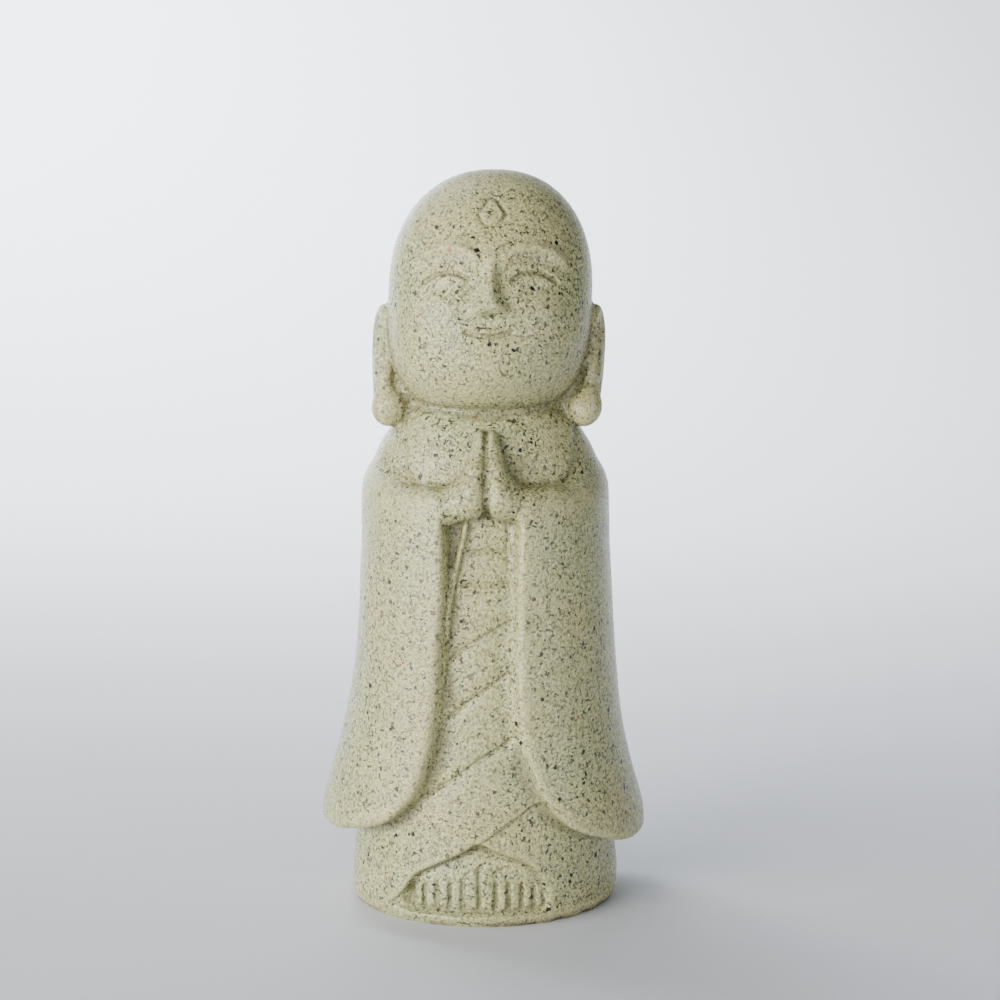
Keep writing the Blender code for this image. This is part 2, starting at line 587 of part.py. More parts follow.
def rough_block():
    """Skirt, head, ears and hands as overlapping primitives, to be fused by the first remesh."""
    mesh = bpy.data.meshes.new("monk_statue")
    block = bmesh.new()
    bmesh.ops.create_cone(
        block, cap_ends=True, segments=32, radius1=SKIRT_WIDTH / 2, radius2=SHOULDER_WIDTH / 2.3,
        depth=BODY + UNDER_GROUND, matrix=Matrix.Translation((0, 0, (BODY - UNDER_GROUND) / 2)),
    )

    def ball(frame, radii):
        size = frame @ Matrix.Diagonal((*radii, 1))
        bmesh.ops.create_uvsphere(block, u_segments=24, v_segments=12, radius=1, matrix=size)

    head_axes = Matrix.Translation(HEAD_CENTRE) @ head_turn().to_4x4()
    ball(head_axes, (HEAD_WIDTH / 2, HEAD_DEPTH / 2, HEAD_HEIGHT / 2))
    for side in (-1, 1):
        for middle, size in ((EAR_MIDDLE, EAR_SIZE), (LOBE_PLACE, LOBE_SIZE)):
            place = Vector((side * middle[0], *middle[1:])) * HEAD_HEIGHT
            ball(head_axes @ Matrix.Translation(place), Vector(size) * HEAD_HEIGHT * 1.1)
        for share in np.linspace(0, 1, 6):
            low, high = Vector(HAND_SPINE[2]), Vector(HAND_SPINE[0])
            place = low.lerp(high, share) * BODY
            radius = (HAND_RADII[2] * (1 - share) + HAND_RADII[0] * share) * BODY
            middle = Matrix.Translation((side * place.x + HAND_LINE * BODY, place.y, place.z))
            ball(middle, (radius, radius * 2, radius))
    block.to_mesh(mesh)
    block.free()
    return bpy.data.objects.new("monk_statue", mesh)


def remesh(obj, grid):
    """The object's mesh fused and remade on an even grid."""
    modifier = obj.modifiers.new("Grid", "REMESH")
    modifier.mode = "VOXEL"
    modifier.voxel_size = grid
    bpy.context.view_layer.update()
    evaluated = obj.evaluated_get(bpy.context.evaluated_depsgraph_get())
    mesh = bpy.data.meshes.new_from_object(evaluated)
    obj.modifiers.remove(modifier)
    obj.data = mesh


def settle(mesh, form, steps, reach):
    """Evens out the vertices along the surface, and puts them back on the form after each step."""
    shaped = bmesh.new()
    shaped.from_mesh(mesh)
    for step in range(steps):
        if step:
            bmesh.ops.smooth_vert(
                shaped, verts=shaped.verts, factor=0.4, use_axis_x=True, use_axis_y=True, use_axis_z=True
            )
        moved = nudge_onto(np.array([v.co for v in shaped.verts]), form, reach)
        for vertex, place in zip(shaped.verts, moved):
            vertex.co = place
    shaped.to_mesh(mesh)
    shaped.free()


def cut_flat(mesh, height=0.0):
    """Cuts the casting off level, and closes it with one flat underside."""
    shaped = bmesh.new()
    shaped.from_mesh(mesh)
    everything = shaped.verts[:] + shaped.edges[:] + shaped.faces[:]
    cut = bmesh.ops.bisect_plane(
        shaped, geom=everything, dist=1e-6, plane_co=(0, 0, height), plane_no=(0, 0, 1), clear_inner=True
    )
    rim = [e for e in cut["geom_cut"] if isinstance(e, bmesh.types.BMEdge)]
    bmesh.ops.edgeloop_fill(shaped, edges=rim)
    bmesh.ops.recalc_face_normals(shaped, faces=shaped.faces)
    shaped.to_mesh(mesh)
    shaped.free()


def stone():
    material = bpy.data.materials.new("cast_stone")
    material.use_nodes = True
    shader = material.node_tree.nodes["Principled BSDF"]
    shader.inputs["Base Color"].default_value = STONE_COLOUR
    shader.inputs["Roughness"].default_value = STONE_ROUGHNESS
    return material


def monk_statue(collection):
    statue = rough_block()
    collection.objects.link(statue)
    for grid, reach, steps in zip(GRIDS, REACHES, SETTLE_STEPS):
        remesh(statue, grid)
        settle(statue.data, figure, steps, reach)
    cut_flat(statue.data)
    thin = statue.modifiers.new("Fewer faces", "DECIMATE")
    faces = sum(len(face.vertices) - 2 for face in statue.data.polygons)
    thin.ratio = min(1.0, TRIANGLES / faces)
    statue.data.materials.append(stone())
    statue.data.shade_smooth()
    return statue


def main():
    for obj in list(bpy.data.objects):
        bpy.data.objects.remove(obj)
    collection = bpy.data.collections.new("monk_statue")
    bpy.context.scene.collection.children.link(collection)
    monk_statue(collection)


main()
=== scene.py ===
"""The looks of the standing child monk: the casting's finer carving, its speckled stone, floor and light.

Metres, +Z up. The figure looks along -Y, and left and right are as a viewer in front sees them, so
left is -X. The carving is written as a distance: each function takes an array of points and gives
how far each one lies outside that form, negative inside.
"""

import math

import bmesh
import bpy
import numpy as np
from mathutils import Matrix, Vector, noise


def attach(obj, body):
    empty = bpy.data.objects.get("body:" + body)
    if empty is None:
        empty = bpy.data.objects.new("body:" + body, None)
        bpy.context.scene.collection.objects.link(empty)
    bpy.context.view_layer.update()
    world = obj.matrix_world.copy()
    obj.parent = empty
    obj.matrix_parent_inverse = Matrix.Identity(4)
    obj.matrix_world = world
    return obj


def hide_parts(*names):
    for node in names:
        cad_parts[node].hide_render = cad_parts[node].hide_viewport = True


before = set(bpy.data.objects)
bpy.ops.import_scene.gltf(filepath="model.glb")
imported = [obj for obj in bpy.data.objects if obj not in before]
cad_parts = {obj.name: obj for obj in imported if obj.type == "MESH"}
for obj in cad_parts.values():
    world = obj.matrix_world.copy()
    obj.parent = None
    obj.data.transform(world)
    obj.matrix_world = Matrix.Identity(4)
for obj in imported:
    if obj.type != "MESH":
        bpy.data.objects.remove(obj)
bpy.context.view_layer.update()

# Driving dimensions, in metres
HEIGHT = 0.220
HEAD_HEIGHT = 0.0735
CHIN_SINK = 0.002
SHOULDER_HEIGHT = HEIGHT - HEAD_HEIGHT + CHIN_SINK
HEAD_WIDTH = 0.0604
HEAD_DEPTH = 0.058
SHOULDER_WIDTH = 0.0735
SHOULDER_DEPTH = 0.060
SLEEVE_REACH_LEFT = 0.0500
SLEEVE_REACH_RIGHT = 0.0485
SLEEVE_FRONT = 0.0415
SLEEVE_BACK = 0.0365
SKIRT_WIDTH = 0.0820
SKIRT_FRONT = 0.038
SKIRT_BACK = 0.0365
SLAB_HEIGHT = 0.0034
FEET_WIDTH = 0.0400
TOE_WIDTH = 0.0038
TOE_SETBACK = 0.0025
NECK_FILLET = 0.0014

# The head looks a little up, and its crown sits a little to the viewer's right
HEAD_TILT = math.radians(14)
HEAD_SWAY = 0.03

# Places and sizes on the body are shares of the height of the shoulders, and those on the head
# are shares of the head's height
BODY = SHOULDER_HEIGHT
HEAD_CENTRE = (0.0015, -0.0015, HEIGHT - HEAD_HEIGHT / 2)


def curve_through(places, values):
    """A smooth curve through the given values, as a function of place."""
    places = np.array(places, float)
    values = np.array(values, float)
    slopes = np.gradient(values, places)

    def at(place):
        place = np.clip(place, places[0], places[-1])
        i = np.clip(np.searchsorted(places, place) - 1, 0, len(places) - 2)
        step = places[i + 1] - places[i]
        t = (place - places[i]) / step
        rise = t * t * (3 - 2 * t)
        start = t * (1 - t) ** 2 * slopes[i]
        end = t * t * (1 - t) * slopes[i + 1]
        return values[i] * (1 - rise) + values[i + 1] * rise + step * (start - end)

    return at


def smooth_path(points, steps=5):
    """Points along a smooth line through the given ones."""
    points = np.array(points, float)
    knots = np.arange(len(points))
    along = np.linspace(0, len(points) - 1, steps * (len(points) - 1) + 1)
    return np.column_stack([curve_through(knots, axis)(along) for axis in points.T])


def join(a, b, radius):
    """The union of two forms, with a fillet."""
    near = np.maximum(radius - np.abs(a - b), 0) / radius
    return np.minimum(a, b) - near * near * radius / 4


def keep(a, b, radius):
    """What two forms share, with a rounded edge."""
    return -join(-a, -b, radius)


def ease(t):
    """0 below 0, 1 above 1, and a smooth rise between."""
    t = np.clip(t, 0, 1)
    return t * t * (3 - 2 * t)


def path_distance(x, z, path):
    """Distance in the front view to a line of straight steps."""
    best = np.full(len(x), np.inf)
    for (x0, z0), (x1, z1) in zip(path[:-1], path[1:]):
        dx, dz = x1 - x0, z1 - z0
        t = np.clip(((x - x0) * dx + (z - z0) * dz) / max(dx * dx + dz * dz, 1e-12), 0, 1)
        best = np.minimum(best, (x - x0 - t * dx) ** 2 + (z - z0 - t * dz) ** 2)
    return np.sqrt(best)


def outline_distance(x, z, outline):
    """Distance in the front view to a closed outline, negative inside."""
    closed = np.vstack([outline, outline[:1]])
    inside = np.zeros(len(x), bool)
    for (x0, z0), (x1, z1) in zip(closed[:-1], closed[1:]):
        if z0 != z1:
            crosses = (z0 > z) != (z1 > z)
            inside ^= crosses & (x < x0 + (z - z0) * (x1 - x0) / (z1 - z0))
    return np.where(inside, -1, 1) * path_distance(x, z, closed)


def column(p, left, right, front, back, power):
    """An upright form with rounded sections, from its four reaches at each height."""
    x, y, z = p.T
    wide = np.where(x < 0, left(z), right(z))
    deep = np.where(y < 0, front(z), back(z))
    scale = ((np.abs(x) / wide) ** power + (np.abs(y) / deep) ** power) ** (1 / power)
    scale = np.maximum(scale, 1e-4)
    return np.maximum(np.hypot(x, y), 1e-4 * wide) * (1 - 1 / scale)


def ellipsoid(p, centre, radii):
    q = (p - centre) / radii
    size = np.maximum(np.linalg.norm(q, axis=1), 1e-6)
    return size * (size - 1) / np.maximum(np.linalg.norm(q / radii, axis=1), 1e-6)


def limb(p, start, end, start_radius, end_radius):
    """A round form that tapers between two points."""
    start, end = np.array(start, float), np.array(end, float)
    along = end - start
    t = np.clip((p - start) @ along / (along @ along), 0, 1)
    away = np.linalg.norm(p - start - t[:, None] * along, axis=1)
    return away - start_radius - (end_radius - start_radius) * t


# The body. Reaches are given from the middle outwards, at heights from the ground up. A power tells
# how square a form's sections are, where 2 is an oval. A join or an edge is the size of a rounding,
# and a fade is how far a carved form takes to die out.

ROBE_HEIGHTS = (0.0, 0.012, 0.04, 0.115, 0.25, 0.40, 0.67, 0.80, 0.90)
ROBE_LEFTS = (0.975, 0.996, 1.0, 0.975, 0.94, 0.895, 0.84, 0.80, 0.72)
ROBE_RIGHTS = (0.940, 0.970, 0.985, 0.965, 0.94, 0.895, 0.84, 0.80, 0.72)
ROBE_FRONTS = (0.945, 0.980, 1.0, 1.0, 0.985, 0.935, 0.86, 0.80, 0.68)
ROBE_BACKS = (0.965, 0.990, 1.0, 0.985, 0.95, 0.90, 0.86, 0.84, 0.82)
ROBE_TOP = 0.86
ROBE_EDGE = 0.02
ROBE_POWER = 2.0

SLEEVE_HEIGHTS = (0.12, 0.18, 0.27, 0.34, 0.40, 0.47, 0.57, 0.72, 0.80, 0.87)
SLEEVE_LEFTS = (1.0, 1.0, 0.938, 0.882, 0.838, 0.800, 0.770, 0.748, 0.725, 0.705)
SLEEVE_RIGHTS = (1.0, 0.998, 0.925, 0.876, 0.846, 0.825, 0.802, 0.774, 0.752, 0.730)
SLEEVE_FRONTS = (1.01, 1.0, 0.985, 0.975, 0.965, 0.955, 0.945, 0.935, 0.928, 0.915)
SLEEVE_BACKS = (1.0, 0.99, 0.965, 0.945, 0.93, 0.915, 0.90, 0.87, 0.84, 0.81)
SLEEVE_TOP = 0.872
SLEEVE_EDGE_LEFT = (
    (-0.086, 1.20), (-0.084, 0.78), (-0.085, 0.66), (-0.095, 0.53), (-0.108, 0.394), (-0.133, 0.293),
    (-0.165, 0.243), (-0.206, 0.207), (-0.265, 0.186), (-0.337, 0.173), (-0.60, 0.178),
)
SLEEVE_EDGE_RIGHT = (
    (0.073, 1.20), (0.071, 0.78), (0.069, 0.66), (0.070, 0.53), (0.076, 0.41), (0.1125, 0.284),
    (0.167, 0.207), (0.239, 0.170), (0.285, 0.153), (0.335, 0.150), (0.60, 0.156),
)
SLEEVE_EDGE_BACK = ((0.20, 1.20), (0.20, 0.60), (0.205, 0.32), (0.235, 0.220), (0.300, 0.178), (0.60, 0.170))
SLEEVE_OUTER_CORNER = (0.60, 1.20)
SLEEVE_RIM = 0.011
SLEEVE_SHOULDER = 0.036
SLEEVE_POWER = 2.3
SLEEVE_TURN = 0.12
WALL_HEIGHTS = (0.17, 0.30, 0.42, 0.60, 0.80)
WALL_SLOPES = (0.20, 0.60, 0.75, 0.50, 0.30)

TORSO_HEIGHTS = (0.72, 0.80, 0.87, 0.90, 0.93, 0.96, 0.985, 1.01, 1.04)
TORSO_WIDTHS = (0.930, 0.935, 0.930, 0.910, 0.868, 0.795, 0.735, 0.65, 0.50)
TORSO_FRONTS = (0.97, 0.97, 0.925, 0.885, 0.845, 0.80, 0.75, 0.66, 0.50)
TORSO_BACKS = (1.04, 1.04, 1.01, 0.98, 0.93, 0.865, 0.80, 0.70, 0.52)
TORSO_TOP = 1.03
TORSO_EDGE = 0.02
TORSO_POWER = 2.2

BIB_LEFT, BIB_RIGHT, BIB_BOTTOM = -0.153, 0.172, 0.866
BIB_CORNER = 0.060
BIB_RAISE = 0.0095
BIB_RIM, BIB_RIM_SHARE = 0.007, 0.75
BIB_SLOPE_FROM, BIB_SLOPE = 0.03, 0.06
BIB_GROOVE_PLACE, BIB_GROOVE_WIDTH, BIB_GROOVE_SHARE = 0.004, 0.006, 0.25

HAND_LINE = 0.0027
HAND_SPINE = ((0.010, -0.180, 0.966), (0.020, -0.218, 0.902), (0.031, -0.234, 0.852))
HAND_RADII = (0.013, 0.021, 0.033)
CUFF_PLACE = (0.078, -0.196, 0.834)
CUFF_RADIUS = 0.035
THUMB = ((0.009, -0.192, 0.954), (0.023, -0.247, 0.872))
THUMB_RADII = (0.008, 0.013)
HAND_GAP_WIDTH = 0.0045
HAND_GAP_DEPTH = 0.010
HAND_DEPTH = 0.12
HAND_BACK_EDGE = 0.01
FINGER_JOIN, WRIST_JOIN, THUMB_JOIN, PALM_JOIN = 0.004, 0.026, 0.018, 0.001
HEEL_GAP, HEEL_GAP_TOP, HEEL_GAP_FADE = 0.005, 0.86, 0.06

SASH_LINES = (0.748, 0.681)
SASH_LEFT, SASH_RIGHT = -0.040, 0.049
SASH_LEAN, SASH_LEAN_FROM = 0.16, 0.74
SASH_LEFT_FADE, SASH_RIGHT_FADE = 0.008, 0.006
LAPEL_EDGE = ((-0.036, 0.82), (-0.040, 0.78), (-0.052, 0.73), (-0.066, 0.66), (-0.075, 0.58))
FOLDS = (
    ((0.058, 0.615), (-0.007, 0.579), (-0.061, 0.541), (-0.080, 0.505)),
    ((0.058, 0.518), (0.028, 0.497), (-0.020, 0.461), (-0.085, 0.408)),
    ((0.062, 0.388), (0.030, 0.364), (-0.013, 0.336), (-0.061, 0.300), (-0.125, 0.256)),
)
LAPEL_WIDTH, LAPEL_RAISE = 0.0058, 0.012
STRIP_PLACE, STRIP_FOOT, STRIP_RAISE = 0.046, 0.33, 0.0085
GROOVE_WIDTH = 0.0032
GROOVE_DEPTH = 0.0085
GROOVE_SHARP_SHARE, GROOVE_BAND = 0.6, 4
STRIP_TOP = 0.90
STRIP_SIDE_FADE, STRIP_TOP_FADE, STRIP_FOOT_FADE = 0.006, 0.02, 0.10
FLAP_EDGE = (
    (0.160, 0.290), (0.125, 0.262), (0.073, 0.231), (0.017, 0.191), (-0.050, 0.145), (-0.127, 0.102),
    (-0.155, 0.070), (-0.190, 0.030),
)
NICHE_RIGHT = (
    (-0.017, 0.166), (0.050, 0.138), (0.086, 0.120), (0.105, 0.098), (0.127, 0.071), (0.135, 0.030),
)
FLAP_STEP = 0.0065
FLAP_SOFTNESS = 0.008
FLAP_FADE = 0.10
SLAB_EDGE = 0.004
NICHE_DEPTH = 0.032
NICHE_EDGE = 0.020
NICHE_ENDS = (-0.180, 0.140)
NICHE_END_FADE = 0.05
FOLDS_FROM, HEM_UP_TO = 0.22, 0.34
CARVED_HALF, CARVED_DEPTH = 0.30, 0.10
FEET_MIDDLE = -0.0115
FEET_DEPTH = 0.10
FEET_EDGE, FEET_BACK_EDGE = 0.012, 0.01
FEET_LEAN, FEET_LEAN_RISE, FEET_FLATNESS = 0.20, 0.20, 0.8
SOLE_ROUNDING = 0.010
TOE_SHARES = (1.27, 1.0, 1.02, 0.96, 0.84)
TOE_TOP, TOE_TOP_MIDDLE, TOE_TOP_FALL = 0.084, 0.106, 0.16
TOE_GROOVE_WIDTH = 0.0040
TOE_GROOVE_DEPTH = 0.012
TOE_GROOVE_FADE = 0.025
FEET_JOIN, CHEST_JOIN, HANDS_JOIN, SLEEVE_JOIN, SHOULDER_JOIN = 0.004, 0.02, 0.008, 0.012, 0.040
SHOULDER_FROM, SHOULDER_RISE = (0.12, 0.68), (0.09, 0.16)


def profile(heights, shares, size):
    """The reach of a form at each height, as shares of a real size."""
    return curve_through(heights, np.array(shares) * size / BODY)


def robe(p):
    left = profile(ROBE_HEIGHTS, ROBE_LEFTS, SKIRT_WIDTH / 2)
    right = profile(ROBE_HEIGHTS, ROBE_RIGHTS, SKIRT_WIDTH / 2)
    front = profile(ROBE_HEIGHTS, ROBE_FRONTS, SKIRT_FRONT)
    back = profile(ROBE_HEIGHTS, ROBE_BACKS, SKIRT_BACK)
    return column(p, left, right, front, back, ROBE_POWER)


def torso(p):
    wide = profile(TORSO_HEIGHTS, TORSO_WIDTHS, SHOULDER_WIDTH / 2)
    front = profile(TORSO_HEIGHTS, TORSO_FRONTS, SHOULDER_DEPTH / 2)
    back = profile(TORSO_HEIGHTS, TORSO_BACKS, SHOULDER_DEPTH / 2)
    form = column(p, wide, wide, front, back, TORSO_POWER)
    return keep(form, p[:, 2] - TORSO_TOP, TORSO_EDGE)


def sleeve_outline(edge, side):
    """The front view of the space that a sleeve fills: outside its inner edge and above its hem."""
    curve = smooth_path(edge)
    return np.vstack([curve, [(side * SLEEVE_OUTER_CORNER[0], SLEEVE_OUTER_CORNER[1])]])


def sleeves(p):
    """Both sleeves, hanging from the forearms and round the body's sides."""
    x, y, z = p.T
    left = profile(SLEEVE_HEIGHTS, SLEEVE_LEFTS, SLEEVE_REACH_LEFT)
    right = profile(SLEEVE_HEIGHTS, SLEEVE_RIGHTS, SLEEVE_REACH_RIGHT)
    front = profile(SLEEVE_HEIGHTS, SLEEVE_FRONTS, SLEEVE_FRONT)
    back = profile(SLEEVE_HEIGHTS, SLEEVE_BACKS, SLEEVE_BACK)
    cloth = column(p, left, right, front, back, SLEEVE_POWER)
    behind = ease(0.5 + y / SLEEVE_TURN)
    slope = curve_through(WALL_HEIGHTS, WALL_SLOPES)(z)
    form = np.full(len(p), np.inf)
    for side, edge in ((-1, SLEEVE_EDGE_LEFT), (1, SLEEVE_EDGE_RIGHT)):
        back_edge = [(side * ex, ez) for ex, ez in SLEEVE_EDGE_BACK]
        limit = outline_distance(x, z, sleeve_outline(edge, side)) * (1 - behind)
        limit += outline_distance(x, z, sleeve_outline(back_edge, side)) * behind
        limit = (limit + slope * np.minimum(cloth, 0)) / np.hypot(1, slope)
        form = np.minimum(form, keep(cloth, limit, SLEEVE_RIM))
    return keep(form, z - SLEEVE_TOP, SLEEVE_SHOULDER)


def limb_before_chest(p, start, end, start_radius, end_radius):
    """A limb that runs straight back into the chest behind its own middle line."""
    share = np.clip((p[:, 2] - end[2]) / (start[2] - end[2]), 0, 1) if start[2] > end[2] + 0.02 else 0.5
    middle = end[1] + share * (start[1] - end[1])
    level = p.copy()
    level[:, 1] = np.minimum(p[:, 1] - middle, 0)
    return limb(level, (start[0], 0, start[2]), (end[0], 0, end[2]), start_radius, end_radius)


def hands(p):
    """Two flat hands, palm to palm, and the wrists that come out of the sleeves."""
    form = np.full(len(p), np.inf)
    for side in (-1, 1):
        tip, knuckle, heel, cuff = (
            (HAND_LINE + side * place[0], place[1], place[2]) for place in (*HAND_SPINE, CUFF_PLACE)
        )
        fingers = limb_before_chest(p, tip, knuckle, HAND_RADII[0], HAND_RADII[1])
        palm = limb_before_chest(p, knuckle, heel, HAND_RADII[1], HAND_RADII[2])
        wrist = limb_before_chest(p, heel, cuff, HAND_RADII[2], CUFF_RADIUS)
        high, low = ((HAND_LINE + side * place[0], place[1], place[2]) for place in THUMB)
        thumb = limb(p, high, low, *THUMB_RADII)
        hand = join(join(join(fingers, palm, FINGER_JOIN), wrist, WRIST_JOIN), thumb, THUMB_JOIN)
        form = join(form, hand, PALM_JOIN) if side > 0 else hand
    apart = np.abs(p[:, 0] - HAND_LINE) - HEEL_GAP * ease((HEEL_GAP_TOP - p[:, 2]) / HEEL_GAP_FADE)
    form += HAND_GAP_DEPTH * np.exp(-((np.maximum(apart, 0) / HAND_GAP_WIDTH) ** 2))
    return keep(form, p[:, 1] + HAND_DEPTH, HAND_BACK_EDGE)


def raised(distance, width):
    """1 inside an outline and 0 outside, with a soft edge of the given width."""
    return ease(0.5 - distance / width)


def bib_raise(x, z):
    """How far the bib over the chest stands proud."""
    middle, half = (BIB_LEFT + BIB_RIGHT) / 2, (BIB_RIGHT - BIB_LEFT) / 2
    over_x = np.maximum(np.abs(x - middle) - half + BIB_CORNER, 0)
    over_z = np.maximum(BIB_BOTTOM - z + BIB_CORNER, 0)
    distance = np.hypot(over_x, over_z) - BIB_CORNER
    rim = BIB_RIM_SHARE * raised(distance, BIB_RIM)
    slope = (1 - BIB_RIM_SHARE) * raised(distance + BIB_SLOPE_FROM, BIB_SLOPE)
    line = np.exp(-(((distance - BIB_GROOVE_PLACE) / BIB_GROOVE_WIDTH) ** 2))
    return BIB_RAISE * (rim + slope - BIB_GROOVE_SHARE * line)


def groove(distance):
    """The depth of a carved line, sharp in the middle, between two softly swelling bands."""
    sharp = np.exp(-((distance / GROOVE_WIDTH) ** 2))
    soft = np.exp(-((distance / (GROOVE_BAND * GROOVE_WIDTH)) ** 2))
    return GROOVE_DEPTH * (GROOVE_SHARP_SHARE * sharp + (1 - GROOVE_SHARP_SHARE) * soft)


def folds(x, z):
    """Depth cut into the robe's front between the sleeves: sash, lapels and slanting folds."""
    cut = np.zeros(len(x))
    left_end = SASH_LEFT + SASH_LEAN * (z - SASH_LEAN_FROM)
    inner = ease((x - left_end) / SASH_LEFT_FADE) * ease((SASH_RIGHT - x) / SASH_RIGHT_FADE)
    for line in SASH_LINES:
        cut += groove(np.abs(z - line)) * inner
    lapel = path_distance(x, z, smooth_path(LAPEL_EDGE))
    cut -= LAPEL_RAISE * np.exp(-((lapel / LAPEL_WIDTH) ** 4))
    strip = ease((x - STRIP_PLACE) / STRIP_SIDE_FADE) * ease((STRIP_TOP - z) / STRIP_TOP_FADE)
    strip *= ease((z - STRIP_FOOT) / STRIP_FOOT_FADE)
    cut -= STRIP_RAISE * strip
    for fold in FOLDS:
        cut += groove(path_distance(x, z, smooth_path(fold)))
    return cut


def hem(x, z):
    """Depth cut into the robe's front at its foot: the layer under the flap, the opening over the feet."""
    over_slab = ease((z - SLAB_HEIGHT / BODY + SLAB_EDGE / 2) / SLAB_EDGE)
    flap = np.vstack([smooth_path(FLAP_EDGE), [(0.6, -0.1), (0.6, 0.29)]])
    edge = outline_distance(x, z, flap)
    under = raised(edge, FLAP_SOFTNESS) * np.exp(-((np.maximum(-edge, 0) / FLAP_FADE) ** 2))
    left = [NICHE_RIGHT[0]] + [place for place in FLAP_EDGE if place[0] < NICHE_RIGHT[0][0]]
    opening = np.vstack([smooth_path(left), smooth_path(NICHE_RIGHT)[::-1]])
    niche = raised(outline_distance(x, z, opening), NICHE_EDGE)
    niche *= ease((x - NICHE_ENDS[0]) / NICHE_END_FADE) * ease((NICHE_ENDS[1] - x) / NICHE_END_FADE)
    return (FLAP_STEP * under + NICHE_DEPTH * niche) * over_slab


def front_carving(x, z):
    cut = np.zeros(len(x))
    upper, lower = z > FOLDS_FROM, z < HEM_UP_TO
    cut[upper] += folds(x[upper], z[upper])
    cut[lower] += hem(x[lower], z[lower])
    return cut


def toe_grooves():
    """The place of each groove beside a toe, across both feet."""
    yield FEET_MIDDLE
    for side in (-1, 1):
        edge = FEET_MIDDLE
        for share in TOE_SHARES:
            edge += side * share * TOE_WIDTH / BODY
            yield edge


def feet(p):
    """Two bare feet under the hem: low domes that end on the slab, with round toes between grooves."""
    x, y, z = p.T
    slab, front = SLAB_HEIGHT / BODY, SKIRT_FRONT / BODY
    up = np.maximum(z - slab, 0)
    round_off = front * (1 - np.sqrt(np.maximum(1 - (x * BODY * 2 / SKIRT_WIDTH) ** 2, 0.2)))
    lean = FEET_LEAN * ease(up / FEET_LEAN_RISE) * up
    lean = lean + SOLE_ROUNDING * np.exp(-((up / SOLE_ROUNDING) ** 2))
    form = TOE_SETBACK / BODY - front + round_off + lean - y
    for place in toe_grooves():
        top = TOE_TOP_MIDDLE if place == FEET_MIDDLE else TOE_TOP - TOE_TOP_FALL * abs(place - FEET_MIDDLE)
        cleft = np.exp(-(((x - place) / TOE_GROOVE_WIDTH) ** 2)) * ease((top - up) / TOE_GROOVE_FADE)
        form += TOE_GROOVE_DEPTH * cleft
    half = FEET_WIDTH / BODY / 2
    form = keep(form, np.hypot(x - FEET_MIDDLE, FEET_FLATNESS * up) - half, FEET_EDGE)
    return keep(form, y + FEET_DEPTH, FEET_BACK_EDGE)


def gown(p):
    """The robe from the ground to the chest, with its carved front and the feet under its hem."""
    x, y, z = p.T
    form = keep(robe(p), z - ROBE_TOP, ROBE_EDGE)
    front = (y < 0) & (np.abs(x) < CARVED_HALF)
    form[front] += ease(-y[front] / CARVED_DEPTH) * front_carving(x[front], z[front])
    return join(form, feet(p), FEET_JOIN)


def body(points):
    """The clothed body, from the slab under the feet to the neck."""
    p = points / BODY
    x, y, z = p.T
    chest = torso(p) - bib_raise(x, z) * ease(-y / CARVED_DEPTH)
    form = join(chest, gown(p), CHEST_JOIN)
    outward = ease((np.abs(x) - SHOULDER_FROM[0]) / SHOULDER_RISE[0])
    upward = ease((z - SHOULDER_FROM[1]) / SHOULDER_RISE[1])
    form = join(form, sleeves(p), SLEEVE_JOIN + SHOULDER_JOIN * outward * upward)
    form = join(form, hands(p), HANDS_JOIN)
    return BODY * form


# The head. Its places and sizes are shares of the head's height, from its centre, in its own tilt.

EYE_LINE = 0.0
BROW_PLACES, BROW_LINE = (0.04, 0.10, 0.18, 0.26, 0.32), (0.055, 0.098, 0.115, 0.095, 0.055)
BROW_WIDTH, BROW_RAISE, BROW_FROM, BROW_UP_TO = 0.022, 0.017, 0.02, 0.34
NOSE_BASE = -0.150
MOUTH_LINE = -0.235
EYE_PLACE = 0.172
EYE_WIDTH = 0.165
LID_DROP, LID_ARCH = -0.012, 0.030
SMILE = ((-0.088, 0.016), (-0.045, 0.0), (0.0, -0.005), (0.045, 0.0), (0.088, 0.016))
LINE_DEPTH, LINE_WIDTH = 0.026, 0.0085
NOSE_HEIGHTS, NOSE_RISES = (NOSE_BASE, -0.115, 0.0, 0.10, 0.18), (0.040, 0.046, 0.024, 0.010, 0.0)
RIDGE_HEIGHTS, RIDGE_HALVES = (-0.20, NOSE_BASE, -0.08, 0.06, 0.12), (0.056, 0.056, 0.038, 0.034, 0.07)
WING_PLACE, WING_RISE, WING_HALF_WIDTH, WING_HALF_HEIGHT, WING_RAISE = 0.046, 0.018, 0.026, 0.024, 0.014
URNA_HEIGHT = 0.252
URNA_SIZE = 0.044
URNA_LENGTH = 0.050
URNA_TAPER, URNA_RAISE, URNA_GROOVE = 0.72, 0.008, 0.009
URNA_EDGE, URNA_GROOVE_PLACE, URNA_GROOVE_WIDTH = 0.011, 0.007, 0.008
FACE_DEPTH = 0.15
SKULL_SECTION, SKULL_POWER, SKULL_POWER_SWING, SKULL_POWER_RISE = 2.2, 2.6, 0.3, 0.15

# Soft swells and hollows of the face: place to the side, height, half width, half height, raise
SOCKET = (0.165, 0.012, 0.095, 0.070, -0.030)
LID = (EYE_PLACE, 0.006, 0.085, 0.045, 0.026)
CHEEK = (0.21, -0.135, 0.13, 0.10, 0.012)
CHIN = (0.0, -0.37, 0.12, 0.075, 0.014)
LIPS = (0.0, MOUTH_LINE, 0.075, 0.030, 0.016)


def head_turn():
    sway = Matrix(((1, 0, HEAD_SWAY), (0, 1, 0), (0, 0, 1)))
    return sway @ Matrix.Rotation(-HEAD_TILT, 3, "X")


def head_frame(points):
    """The points in the head's own axes and shares."""
    return (points - HEAD_CENTRE) @ np.array(head_turn().inverted()).T / HEAD_HEIGHT


